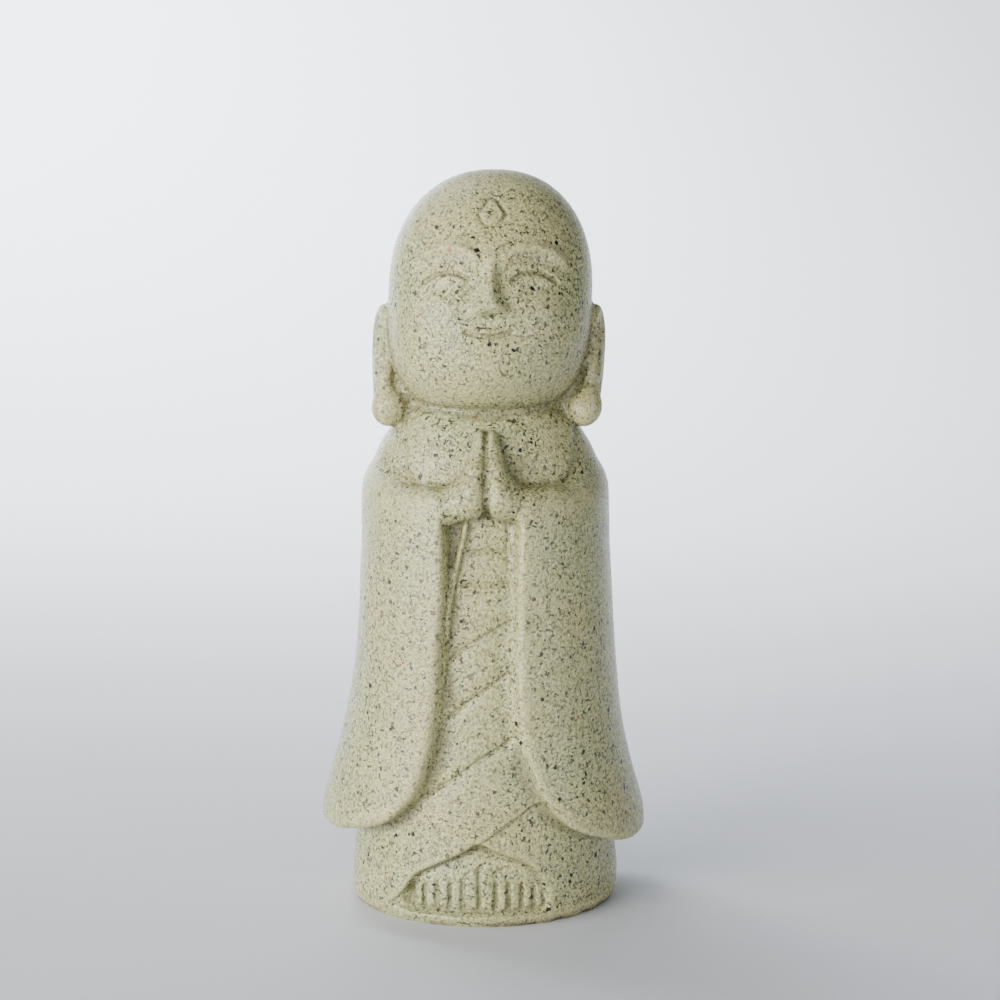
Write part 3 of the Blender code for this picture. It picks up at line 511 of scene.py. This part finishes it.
def swell(side, z, place, height, half_width, half_height, rise):
    return rise * np.exp(-(((side - place) / half_width) ** 2) - (((z - height) / half_height) ** 2))


def face_relief(x, z):
    """How far the face stands out from the plain head, or is cut into it."""
    side = np.abs(x)
    brow = np.exp(-(((z - curve_through(BROW_PLACES, BROW_LINE)(side)) / BROW_WIDTH) ** 2))
    brow *= ease((side - BROW_FROM) / 0.05) * ease((BROW_UP_TO - side) / 0.1)
    ridge_half = curve_through(RIDGE_HEIGHTS, RIDGE_HALVES)(z)
    ridge = np.exp(-((side / ridge_half) ** 2.4)) * ease((z - NOSE_BASE + 0.014) / 0.026)
    rise = curve_through(NOSE_HEIGHTS, NOSE_RISES)(z)
    relief = swell(side, z, *SOCKET) + swell(side, z, *LID) + BROW_RAISE * brow + rise * ridge
    relief += swell(side, z, *CHEEK) + swell(side, z, *CHIN) + swell(side, z, *LIPS)
    across = np.linspace(-0.5, 0.5, 5)
    lid_line = smooth_path(
        [(EYE_PLACE + EYE_WIDTH * s, EYE_LINE + LID_DROP + LID_ARCH * (1 - 4 * s * s)) for s in across]
    )
    relief -= LINE_DEPTH * np.exp(-((path_distance(side, z, lid_line) / LINE_WIDTH) ** 2))
    smile = smooth_path([(place, MOUTH_LINE + height) for place, height in SMILE])
    relief -= LINE_DEPTH * np.exp(-((path_distance(x, z, smile) / LINE_WIDTH) ** 2))
    wing = np.hypot((side - WING_PLACE) / WING_HALF_WIDTH, (z - NOSE_BASE - WING_RISE) / WING_HALF_HEIGHT)
    relief += WING_RAISE * np.exp(-(wing**2))
    return relief


def urna_relief(x, z):
    """The drop-shaped mark on the forehead, raised inside a fine groove."""
    up = z - URNA_HEIGHT
    along = np.clip(up / URNA_LENGTH, 0, 1)
    distance = np.hypot(x, up - along * URNA_LENGTH) - URNA_SIZE * (1 - URNA_TAPER * along)
    line = np.exp(-(((distance - URNA_GROOVE_PLACE) / URNA_GROOVE_WIDTH) ** 2))
    return URNA_RAISE * raised(distance, URNA_EDGE) - URNA_GROOVE * line


def skull(p):
    """A smooth egg, rounder on top and fuller at the jaw."""
    wide, deep = HEAD_WIDTH / HEAD_HEIGHT / 2, HEAD_DEPTH / HEAD_HEIGHT / 2
    x, y, z = np.abs(p).T
    power = SKULL_POWER - SKULL_POWER_SWING * np.tanh(p[:, 2] / SKULL_POWER_RISE)
    level = ((x / wide) ** SKULL_SECTION + (y / deep) ** SKULL_SECTION) ** (1 / SKULL_SECTION)
    scale = np.maximum((level**power + (z / 0.5) ** power) ** (1 / power), 1e-4)
    return np.maximum(np.linalg.norm(p, axis=1), 1e-4) * (1 - 1 / scale)


EAR_RIM = (
    (0.398, -0.020, -0.165), (0.412, -0.015, -0.090), (0.428, 0.035, -0.060), (0.444, 0.085, -0.105),
    (0.449, 0.100, -0.190), (0.444, 0.085, -0.290), (0.434, 0.045, -0.380),
)
EAR_RIM_RADIUS = 0.026
EAR_MIDDLE = (0.410, 0.050, -0.235)
EAR_SIZE = (0.052, 0.100, 0.205)
EAR_HOLLOW = ((0.450, 0.004, -0.140), (0.444, 0.004, -0.310), 0.028, 0.018)
EAR_FRONT_GROOVE = ((0.414, -0.050, -0.130), (0.414, -0.052, -0.350), 0.016, 0.010)
LOBE_PLACE = (0.392, 0.012, -0.455)
LOBE_SIZE = (0.072, 0.070, 0.080)
EAR_JOIN, RIM_JOIN, LOBE_JOIN, HOLLOW_EDGE = 0.016, 0.020, 0.040, 0.016


def ear(p, side):
    """A long ear with a rolled rim, a hollow inside the rim and a heavy lobe."""
    q = p * (side, 1, 1)
    rim = smooth_path(EAR_RIM, 3)
    tube = np.full(len(p), np.inf)
    for start, end in zip(rim[:-1], rim[1:]):
        tube = np.minimum(tube, limb(q, start, end, EAR_RIM_RADIUS, EAR_RIM_RADIUS))
    form = join(ellipsoid(q, EAR_MIDDLE, EAR_SIZE), tube, RIM_JOIN)
    form = join(form, ellipsoid(q, LOBE_PLACE, LOBE_SIZE), LOBE_JOIN)
    carved = np.minimum(limb(q, *EAR_HOLLOW), limb(q, *EAR_FRONT_GROOVE))
    return keep(form, -carved, HOLLOW_EDGE)


def head(points):
    p = head_frame(points)
    x, y, z = p.T
    ahead = ease(-y / FACE_DEPTH)
    face = skull(p) - (face_relief(x, z) + urna_relief(x, z)) * ahead
    for side in (-1, 1):
        face = join(face, ear(p, side), EAR_JOIN)
    return HEAD_HEIGHT * face


BODY_UP_TO, HEAD_FROM = 1.08, 0.92


def figure(points):
    """The whole casting, which runs on a little below the ground until it is cut off flat."""
    far = np.full(len(points), HEIGHT)
    low, high = far.copy(), far.copy()
    below, above = points[:, 2] < BODY_UP_TO * BODY, points[:, 2] > HEAD_FROM * BODY
    low[below], high[above] = body(points[below]), head(points[above])
    return np.maximum(join(low, high, NECK_FILLET), -points[:, 2] - UNDER_GROUND)


def nudge_onto(points, form, reach, steps=3):
    """Points moved onto the surface of a form, along the way it is nearest."""
    probe = 2e-5
    corners = np.array([(1, 1, 1), (1, -1, -1), (-1, 1, -1), (-1, -1, 1)], float)
    for _ in range(steps):
        around = np.array([form(points + probe * corner) for corner in corners])
        slope = corners.T @ around / (4 * probe)
        here = around.mean(axis=0)
        move = -here * slope / np.maximum((slope**2).sum(axis=0), 0.04)
        length = np.maximum(np.linalg.norm(move, axis=0), 1e-12)
        points = points + (move * np.minimum(1, reach / length)).T
    return points


def remesh(obj, grid):
    """The object's mesh fused and remade on an even grid."""
    modifier = obj.modifiers.new("Grid", "REMESH")
    modifier.mode = "VOXEL"
    modifier.voxel_size = grid
    bpy.context.view_layer.update()
    evaluated = obj.evaluated_get(bpy.context.evaluated_depsgraph_get())
    mesh = bpy.data.meshes.new_from_object(evaluated)
    obj.modifiers.remove(modifier)
    obj.data = mesh


def settle(mesh, form, steps, reach):
    """Evens out the vertices along the surface, and puts them back on the form after each step."""
    shaped = bmesh.new()
    shaped.from_mesh(mesh)
    for step in range(steps):
        if step:
            bmesh.ops.smooth_vert(
                shaped, verts=shaped.verts, factor=0.4, use_axis_x=True, use_axis_y=True, use_axis_z=True
            )
        moved = nudge_onto(np.array([v.co for v in shaped.verts]), form, reach)
        for vertex, place in zip(shaped.verts, moved):
            vertex.co = place
    shaped.to_mesh(mesh)
    shaped.free()


def cut_flat(mesh, height=0.0):
    """Cuts the casting off level, and closes it with one flat underside."""
    shaped = bmesh.new()
    shaped.from_mesh(mesh)
    everything = shaped.verts[:] + shaped.edges[:] + shaped.faces[:]
    cut = bmesh.ops.bisect_plane(
        shaped, geom=everything, dist=1e-6, plane_co=(0, 0, height), plane_no=(0, 0, 1), clear_inner=True
    )
    rim = [e for e in cut["geom_cut"] if isinstance(e, bmesh.types.BMEdge)]
    bmesh.ops.edgeloop_fill(shaped, edges=rim)
    bmesh.ops.recalc_face_normals(shaped, faces=shaped.faces)
    shaped.to_mesh(mesh)
    shaped.free()


# The casting's fine mesh

UNDER_GROUND = 0.003
FIRST_GRID = 0.0014
FINE_EDGE, FINER_EDGE = 0.00085, 0.00042

# Each settling's steps, and how far a vertex may move in one
FIRST_SETTLE = (4, 0.0005)
FINE_SETTLES = ((3, 0.0002), (2, 0.0001))

CHIP_SIZE, CHIP_DEPTH, CHIP_START, CHIPS_UP_TO = 0.0035, 0.001, 0.05, 0.0045
WAVE_SIZE, WAVE_DEPTH = 0.016, 0.00012
HOLLOW_STEPS, HOLLOW_DEPTH = 12, 0.0004

# Where the mesh is fine. The boxes at the foot, the hands and the toes are in metres, the face's box is
# in shares of the head, and a band is how far from a hem or a carved line the mesh stays fine.
WIDEST_EDGE = 0.01
SPLIT_OVER = 1.45
CARVED_UP_TO = 1.02
HEM_BAND, LINE_BAND = 0.022, 0.012
FOOT_BOX = ((-0.042, -1, -0.01), (0.042, -0.010, 0.030))
HANDS_BOX = ((-0.014, -1, 0.118), (0.015, -0.020, 0.1465))
TOES_BOX = ((-0.024, -1, 0.001), (0.021, -0.020, 0.018))
FACE_BOX = ((-0.36, -1, -0.40), (0.36, -0.12, 0.36))
EARS_FROM, EARS_UP_TO, EARS_OVER = 0.36, 0.06, 0.95
STRIP_LINE = ((STRIP_PLACE, 0.85), (STRIP_PLACE, STRIP_FOOT))
BIB_LINE = ((BIB_LEFT, 1.0), (BIB_LEFT, BIB_BOTTOM), (BIB_RIGHT, BIB_BOTTOM), (BIB_RIGHT, 1.0))

# The finest patches of the face: place to the side, height, half width, half height
FINE_PATCHES = (
    (EYE_PLACE, 0.01, 0.12, 0.055),
    (0.0, -0.10, 0.085, 0.09),
    (0.0, MOUTH_LINE, 0.125, 0.045),
)
MARK_MIDDLE, MARK_REACH = 0.02, 0.085


def inside_box(points, low, high):
    return ((points > low) & (points < high)).all(axis=1)


def wanted_edge(points):
    """How long an edge may be at each point: short where the carving is fine."""
    wanted = np.full(len(points), WIDEST_EDGE)
    x, z = points[:, 0] / BODY, points[:, 2] / BODY
    front = (points[:, 1] < 0) & (z < CARVED_UP_TO)
    hems, lines = np.full(len(points), 1.0), np.full(len(points), 1.0)
    for edge in (SLEEVE_EDGE_LEFT, SLEEVE_EDGE_RIGHT):
        hems[front] = np.minimum(hems[front], path_distance(x[front], z[front], smooth_path(edge)))
    sash = [((SASH_LEFT, line), (SASH_RIGHT, line)) for line in SASH_LINES]
    for line in (*FOLDS, *sash, LAPEL_EDGE, FLAP_EDGE, NICHE_RIGHT, BIB_LINE, STRIP_LINE):
        lines[front] = np.minimum(lines[front], path_distance(x[front], z[front], line))
    p = head_frame(points)
    side, ahead = np.abs(p[:, 0]), p[:, 1] < FACE_BOX[1][1]
    ears = (side > EARS_FROM) & (p[:, 2] < EARS_UP_TO) & (z > EARS_OVER)
    fine = inside_box(points, *FOOT_BOX) | (hems < HEM_BAND) | inside_box(p, *FACE_BOX) | ears
    wanted[fine] = FINE_EDGE
    finer = np.hypot(p[:, 0], p[:, 2] - URNA_HEIGHT - MARK_MIDDLE) < MARK_REACH
    for place, height, half_width, half_height in FINE_PATCHES:
        finer |= (np.abs(side - place) < half_width) & (np.abs(p[:, 2] - height) < half_height)
    finer = ahead & finer | inside_box(points, *HANDS_BOX) | inside_box(points, *TOES_BOX)
    wanted[finer | (lines < LINE_BAND)] = FINER_EDGE
    return wanted


def refine(mesh):
    """Splits the edges that are longer than is wanted where they lie."""
    shaped = bmesh.new()
    shaped.from_mesh(mesh)
    bmesh.ops.triangulate(shaped, faces=shaped.faces)
    ends = np.array([(*e.verts[0].co, *e.verts[1].co) for e in shaped.edges])
    length = np.linalg.norm(ends[:, :3] - ends[:, 3:], axis=1)
    long = length > SPLIT_OVER * wanted_edge((ends[:, :3] + ends[:, 3:]) / 2)
    edges = [e for e, split in zip(shaped.edges[:], long) if split]
    bmesh.ops.subdivide_edges(shaped, edges=edges, cuts=1, use_grid_fill=True)
    bmesh.ops.triangulate(shaped, faces=shaped.faces)
    shaped.to_mesh(mesh)
    shaped.free()


def weather(mesh):
    """The unevenness of a casting finished by hand, and a rim worn and chipped at the foot."""
    shaped = bmesh.new()
    shaped.from_mesh(mesh)
    shaped.normal_update()
    for vertex in shaped.verts:
        place = vertex.co
        wave = noise.noise(place / WAVE_SIZE) * WAVE_DEPTH
        rim = max(0.0, 1 - place.z / CHIPS_UP_TO)
        chip = max(0.0, noise.noise(place / CHIP_SIZE) - CHIP_START) * CHIP_DEPTH * rim
        vertex.co = place + vertex.normal * (wave - chip)
    shaped.to_mesh(mesh)
    shaped.free()


def mark_hollows(mesh):
    """An attribute that is over 0.5 in the hollows and under it on the ridges: the stone takes painted shade
    and dust in the hollows from it, and a lighter colour on the ridges.
    """
    count = len(mesh.vertices)
    place = np.empty(count * 3, np.float32)
    normal = np.empty(count * 3, np.float32)
    ends = np.empty(len(mesh.edges) * 2, np.int32)
    mesh.vertices.foreach_get("co", place)
    mesh.vertices.foreach_get("normal", normal)
    mesh.edges.foreach_get("vertices", ends)
    place, normal, ends = place.reshape(-1, 3), normal.reshape(-1, 3), ends.reshape(-1, 2)
    first, second = ends.T

    def around(values):
        """The mean of each vertex's neighbours."""
        total = np.bincount(first, values[second], count) + np.bincount(second, values[first], count)
        return total / (np.bincount(first, minlength=count) + np.bincount(second, minlength=count))

    smooth = place.astype(float).T.copy()
    for _ in range(HOLLOW_STEPS):
        smooth = np.array([around(axis) for axis in smooth])
    depth = ((smooth.T - place) * normal).sum(axis=1)
    for _ in range(2):
        depth = around(depth)
    hollow = mesh.attributes.new("hollow", "FLOAT", "POINT")
    hollow.data.foreach_set("value", (0.5 + np.clip(depth / HOLLOW_DEPTH, -1, 1) / 2).astype(np.float32))


def fine_casting(node):
    """A finer copy of the casting, with its carving sharpened where the photograph shows it sharp."""
    shaped = bmesh.new()
    shaped.from_mesh(node.data)
    bmesh.ops.remove_doubles(shaped, verts=shaped.verts, dist=1e-6)
    for vertex in shaped.verts:
        if vertex.co.z < 1e-5:
            vertex.co.z -= UNDER_GROUND
    mesh = bpy.data.meshes.new("casting")
    shaped.to_mesh(mesh)
    shaped.free()
    casting = bpy.data.objects.new("casting", mesh)
    bpy.context.scene.collection.objects.link(casting)
    remesh(casting, FIRST_GRID)
    settle(casting.data, figure, *FIRST_SETTLE)
    for steps, reach in FINE_SETTLES:
        refine(casting.data)
        settle(casting.data, figure, steps, reach)
    weather(casting.data)
    cut_flat(casting.data)
    mark_hollows(casting.data)
    casting.data.shade_smooth()
    return casting


# The stone


def node_maker(tree):
    def make(kind, inputs=(), **settings):
        node = tree.nodes.new(kind)
        for name, value in settings.items():
            setattr(node, name, value)
        for name, value in dict(inputs).items():
            if isinstance(value, bpy.types.NodeSocket):
                tree.links.new(value, node.inputs[name])
            else:
                node.inputs[name].default_value = value
        return node

    return make


# How ragged the specks are, how far their edges are pushed as a share of the spacing, the smallest
# beside the largest, and how much of each is at full strength
SPECK_RAGGEDNESS, SPECK_PUSH, SPECK_SMALLEST, SPECK_CORE = 2.6, 0.42, 0.45, 0.75


def speck_group():
    """Irregular specks scattered in the stone: a mask, and a number from 0 to 1 of each speck's own."""
    tree = bpy.data.node_groups.new("Specks", "ShaderNodeTree")
    for name, kind in (("Vector", "Vector"), ("Spacing", "Float"), ("Share", "Float"), ("Size", "Float")):
        tree.interface.new_socket(name, in_out="INPUT", socket_type="NodeSocket" + kind)
    for name in ("Mask", "Own"):
        tree.interface.new_socket(name, in_out="OUTPUT", socket_type="NodeSocketFloat")
    make = node_maker(tree)
    given = make("NodeGroupInput").outputs
    scale = make("ShaderNodeMath", {0: 1.0, 1: given["Spacing"]}, operation="DIVIDE").outputs[0]
    ragged_scale = make("ShaderNodeMath", {0: scale, 1: SPECK_RAGGEDNESS}, operation="MULTIPLY").outputs[0]
    ragged = make("ShaderNodeTexNoise", {"Vector": given["Vector"], "Scale": ragged_scale, "Detail": 1.0})
    shift = make(
        "ShaderNodeVectorMath", {0: ragged.outputs["Color"], 1: (0.5, 0.5, 0.5)}, operation="SUBTRACT"
    )
    reach = make("ShaderNodeMath", {0: given["Spacing"], 1: SPECK_PUSH}, operation="MULTIPLY").outputs[0]
    push = make("ShaderNodeVectorMath", {0: shift.outputs[0], "Scale": reach}, operation="SCALE")
    moved = make("ShaderNodeVectorMath", {0: given["Vector"], 1: push.outputs[0]}, operation="ADD")
    cells = make("ShaderNodeTexVoronoi", {"Vector": moved.outputs[0], "Scale": scale})
    own = make("ShaderNodeSeparateColor", {"Color": cells.outputs["Color"]}).outputs
    there = make("ShaderNodeMath", {0: own["Red"], 1: given["Share"]}, operation="LESS_THAN").outputs[0]
    swing = make("ShaderNodeMapRange", {"Value": own["Green"], "To Min": SPECK_SMALLEST, "To Max": 1.0})
    size = make("ShaderNodeMath", {0: given["Size"], 1: swing.outputs[0]}, operation="MULTIPLY").outputs[0]
    core = make("ShaderNodeMath", {0: size, 1: SPECK_CORE}, operation="MULTIPLY").outputs[0]
    away = cells.outputs["Distance"]
    spot = make(
        "ShaderNodeMapRange",
        {"Value": away, "From Min": core, "From Max": size, "To Min": 1.0, "To Max": 0.0},
        interpolation_type="SMOOTHSTEP",
    ).outputs[0]
    mask = make("ShaderNodeMath", {0: spot, 1: there}, operation="MULTIPLY").outputs[0]
    make("NodeGroupOutput", {"Mask": mask, "Own": own["Blue"]})
    return tree


# Each kind of speck: its spacing in metres, how many places hold one, its size as a share of the
# spacing, how strongly it covers the stone, and its two end colours
SPECKS = (
    ("dark", 0.00215, 0.52, 0.245, 0.97, (0.012, 0.015, 0.010), (0.060, 0.050, 0.024)),
    ("rust", 0.00520, 0.38, 0.145, 0.95, (0.24, 0.060, 0.012), (0.30, 0.13, 0.035)),
    ("black", 0.00400, 0.72, 0.205, 1.0, (0.002, 0.002, 0.006), (0.006, 0.006, 0.005)),
)

# The stone's two main colours, and the patches in which one gives way to the other
WARM_STONE, COOL_STONE = (0.455, 0.415, 0.180), (0.375, 0.400, 0.185)
PATCH_FINENESS, PATCH_START, PATCH_FULL = 34.0, 0.35, 0.65

# Painted shade and dust in the hollows, and a lighter colour on the ridges: where each starts and is full,
# its strength and colour
HOLLOW_SHADE_AND_DUST = (0.58, 0.95, 0.50, (0.130, 0.118, 0.062))
RIDGE_LIGHTENING = (0.42, 0.10, 0.30, (0.58, 0.53, 0.27))

# Brown dirt in patches along the rim of the slab, full up to one height and gone at the next
RIM_DIRT = (0.105, 0.055, 0.030)
RIM_DIRT_FROM, RIM_DIRT_UP_TO, RIM_DIRT_STRENGTH = 0.0006, 0.0018, 0.75
RIM_DIRT_FINENESS, RIM_DIRT_START, RIM_DIRT_FULL = 70.0, 0.44, 0.60

# The pits between the grains, which make the surface rough
PIT_FINENESS, PIT_START, PIT_FULL = 1500.0, 0.3, 0.7
SMOOTHEST, ROUGHEST = 0.15, 0.42
BUMP_STRENGTH, BUMP_HEIGHT = 0.9, 0.00032

# How far one layer's pattern is moved from the next
LAYER_SHIFT = (0.31, 0.17)
SHIFT_UP = 0.05

# The grain: each layer's fineness per metre, where it starts and is full, its strength and colour
GRAINS = (
    (300.0, 0.42, 0.68, 0.45, (0.240, 0.245, 0.125)),
    (1300.0, 0.50, 0.60, 0.55, (0.74, 0.70, 0.42)),
    (1100.0, 0.53, 0.61, 0.78, (0.112, 0.115, 0.058)),
    (820.0, 0.605, 0.645, 0.95, (0.026, 0.029, 0.017)),
)


def cast_stone():
    material = bpy.data.materials.new("Speckled cast stone")
    material.use_nodes = True
    tree = material.node_tree
    make = node_maker(tree)
    shader = tree.nodes["Principled BSDF"]
    place = make("ShaderNodeTexCoord").outputs["Object"]

    def mixed(factor, a, b):
        node = make("ShaderNodeMix", data_type="RGBA")
        colours = [socket for socket in node.inputs if socket.type == "RGBA"]
        for socket, value in ((node.inputs["Factor"], factor), (colours[0], a), (colours[1], b)):
            if isinstance(value, bpy.types.NodeSocket):
                tree.links.new(value, socket)
            elif isinstance(value, tuple):
                socket.default_value = (*value, 1.0)
            else:
                socket.default_value = value
        return [socket for socket in node.outputs if socket.type == "RGBA"][0]

    def spread(value, low, high, to_low=0.0, to_high=1.0):
        return make(
            "ShaderNodeMapRange",
            {"Value": value, "From Min": low, "From Max": high, "To Min": to_low, "To Max": to_high},
        ).outputs[0]

    def grain(index, fineness, detail):
        shift = (LAYER_SHIFT[0] * index, LAYER_SHIFT[1] * index, SHIFT_UP)
        moved = make("ShaderNodeVectorMath", {0: place, 1: shift}, operation="ADD")
        return make(
            "ShaderNodeTexNoise", {"Vector": moved.outputs[0], "Scale": fineness, "Detail": detail}
        ).outputs["Fac"]

    patches = spread(grain(0, PATCH_FINENESS, 3.0), PATCH_START, PATCH_FULL)
    stone = mixed(patches, WARM_STONE, COOL_STONE)
    for index, (fineness, start, full, strength, colour) in enumerate(GRAINS):
        layer = grain(index + 1, fineness, 2.0)
        stone = mixed(spread(layer, start, full, 0.0, strength), stone, colour)
    group = speck_group()
    for name, spacing, share, size, cover, first, second in SPECKS:
        specks = make("ShaderNodeGroup", node_tree=group, label=name)
        tree.links.new(place, specks.inputs["Vector"])
        for socket, value in (("Spacing", spacing), ("Share", share), ("Size", size)):
            specks.inputs[socket].default_value = value
        colour = mixed(specks.outputs["Own"], first, second)
        mask = make("ShaderNodeMath", {0: specks.outputs["Mask"], 1: cover}, operation="MULTIPLY").outputs[0]
        stone = mixed(mask, stone, colour)
    carved = make("ShaderNodeAttribute", attribute_name="hollow").outputs["Fac"]
    # Painted shade and dust darken the hollows, and the ridges are given a lighter colour
    for start, full, strength, colour in (HOLLOW_SHADE_AND_DUST, RIDGE_LIGHTENING):
        stone = mixed(spread(carved, start, full, 0.0, strength), stone, colour)
    above_ground = make("ShaderNodeSeparateXYZ", {"Vector": place}).outputs["Z"]
    low = spread(above_ground, RIM_DIRT_FROM, RIM_DIRT_UP_TO, RIM_DIRT_STRENGTH, 0.0)
    patchy = spread(grain(8, RIM_DIRT_FINENESS, 2.0), RIM_DIRT_START, RIM_DIRT_FULL)
    rim_dirt = make("ShaderNodeMath", {0: low, 1: patchy}, operation="MULTIPLY").outputs[0]
    stone = mixed(rim_dirt, stone, RIM_DIRT)
    tree.links.new(stone, shader.inputs["Base Color"])
    pitted = grain(7, PIT_FINENESS, 2.0)
    roughness = spread(pitted, PIT_START, PIT_FULL, SMOOTHEST, ROUGHEST)
    tree.links.new(roughness, shader.inputs["Roughness"])
    height = make("ShaderNodeMath", {0: pitted, 1: mask}, operation="SUBTRACT").outputs[0]
    bump = make("ShaderNodeBump", {"Strength": BUMP_STRENGTH, "Distance": BUMP_HEIGHT, "Height": height})
    tree.links.new(bump.outputs["Normal"], shader.inputs["Normal"])
    return material


# Floor, light and camera

FLOOR_SIZE, FLOOR_BACK, WALL_HEIGHT, BEND = 2.5, 1.5, 3.0, 0.9
FLOOR_GAP = 0.0001
FLOOR_COLOUR, FLOOR_ROUGHNESS = (0.640, 0.662, 0.705, 1), 0.75
WORLD_COLOUR, WORLD_STRENGTH = (0.86, 0.90, 1.0, 1), 0.06

# Each light: name, place, what it points at, size, watts, colour and spread in degrees
MIDDLE = (0, 0, 0.11)
LIGHTS = (
    ("window", (-0.90, -0.82, 0.33), MIDDLE, (1.0, 0.5), 29, (1.0, 0.98, 0.93), 180),
    ("sky", (-1.5, -0.2, 0.9), (-0.5, 0.2, 0.0), (0.9, 0.9), 7, (0.78, 0.89, 1.0), 180),
    ("right", (0.72, -0.86, 0.24), MIDDLE, (0.30, 0.30), 3.2, (0.90, 0.95, 1.0), 180),
    ("glint", (0.06, -1.0, 0.80), MIDDLE, (0.14, 0.14), 1.6, (1.0, 1.0, 1.0), 180),
    ("backdrop", (-0.8, 1.0, 1.2), (-0.30, 1.50, 0.05), (1.8, 0.6), 52, (0.96, 0.98, 1.0), 105),
)

# The lens in millimetres, and how many degrees the camera looks down
LENS, SENSOR_WIDTH, CLIP_START = 79.7, 36, 0.01
CAMERA_PLACE, CAMERA_DOWN = (0.0044, -0.66, 0.22), 8.5


def plain_material(name, colour, roughness):
    material = bpy.data.materials.new(name)
    material.use_nodes = True
    shader = material.node_tree.nodes["Principled BSDF"]
    shader.inputs["Base Color"].default_value = colour
    shader.inputs["Roughness"].default_value = roughness
    return material


def seamless_floor():
    """A pale sheet of paper that lies on the table and curves up behind the figure."""
    shaped = bmesh.new()
    bmesh.ops.create_grid(shaped, x_segments=1, y_segments=1, size=FLOOR_SIZE)
    bmesh.ops.translate(shaped, verts=shaped.verts, vec=(0, FLOOR_BACK - FLOOR_SIZE, -FLOOR_GAP))
    back = [e for e in shaped.edges if all(v.co.y > FLOOR_BACK - 0.1 for v in e.verts)]
    wall = bmesh.ops.extrude_edge_only(shaped, edges=back)
    raised_verts = [g for g in wall["geom"] if isinstance(g, bmesh.types.BMVert)]
    bmesh.ops.translate(shaped, verts=raised_verts, vec=(0, 0, WALL_HEIGHT))
    fold = [e for e in shaped.edges if all(v.co.y > FLOOR_BACK - 0.1 and v.co.z < 0.1 for v in e.verts)]
    bmesh.ops.bevel(shaped, geom=fold, offset=BEND, segments=24, affect="EDGES", profile=0.5, material=-1)
    mesh = bpy.data.meshes.new("floor")
    shaped.to_mesh(mesh)
    shaped.free()
    mesh.shade_smooth()
    floor = bpy.data.objects.new("floor", mesh)
    bpy.context.scene.collection.objects.link(floor)
    floor.data.materials.append(plain_material("Pale paper", FLOOR_COLOUR, FLOOR_ROUGHNESS))


def softbox(name, place, target, size, power, colour, spread):
    light = bpy.data.lights.new(name, "AREA")
    light.shape = "RECTANGLE"
    light.size, light.size_y = size
    light.energy = power
    light.color = colour
    light.spread = math.radians(spread)
    lamp = bpy.data.objects.new(name, light)
    bpy.context.scene.collection.objects.link(lamp)
    lamp.location = place
    lamp.rotation_euler = (Vector(target) - Vector(place)).to_track_quat("-Z", "Y").to_euler()
    lamp.visible_camera = False


def studio():
    world = bpy.data.worlds.new("Studio")
    bpy.context.scene.world = world
    world.use_nodes = True
    background = world.node_tree.nodes["Background"]
    background.inputs["Color"].default_value = WORLD_COLOUR
    background.inputs["Strength"].default_value = WORLD_STRENGTH
    for light in LIGHTS:
        softbox(*light)


def camera():
    lens = bpy.data.cameras.new("camera")
    lens.lens = LENS
    lens.sensor_width = SENSOR_WIDTH
    lens.clip_start = CLIP_START
    eye = bpy.data.objects.new("camera", lens)
    bpy.context.scene.collection.objects.link(eye)
    eye.location = CAMERA_PLACE
    eye.rotation_euler = (math.radians(90 - CAMERA_DOWN), 0, 0)
    bpy.context.scene.camera = eye


casting = fine_casting(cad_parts["monk_statue"])
casting.data.materials.clear()
casting.data.materials.append(cast_stone())
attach(casting, "root")
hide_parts("monk_statue")
seamless_floor()
studio()
camera()
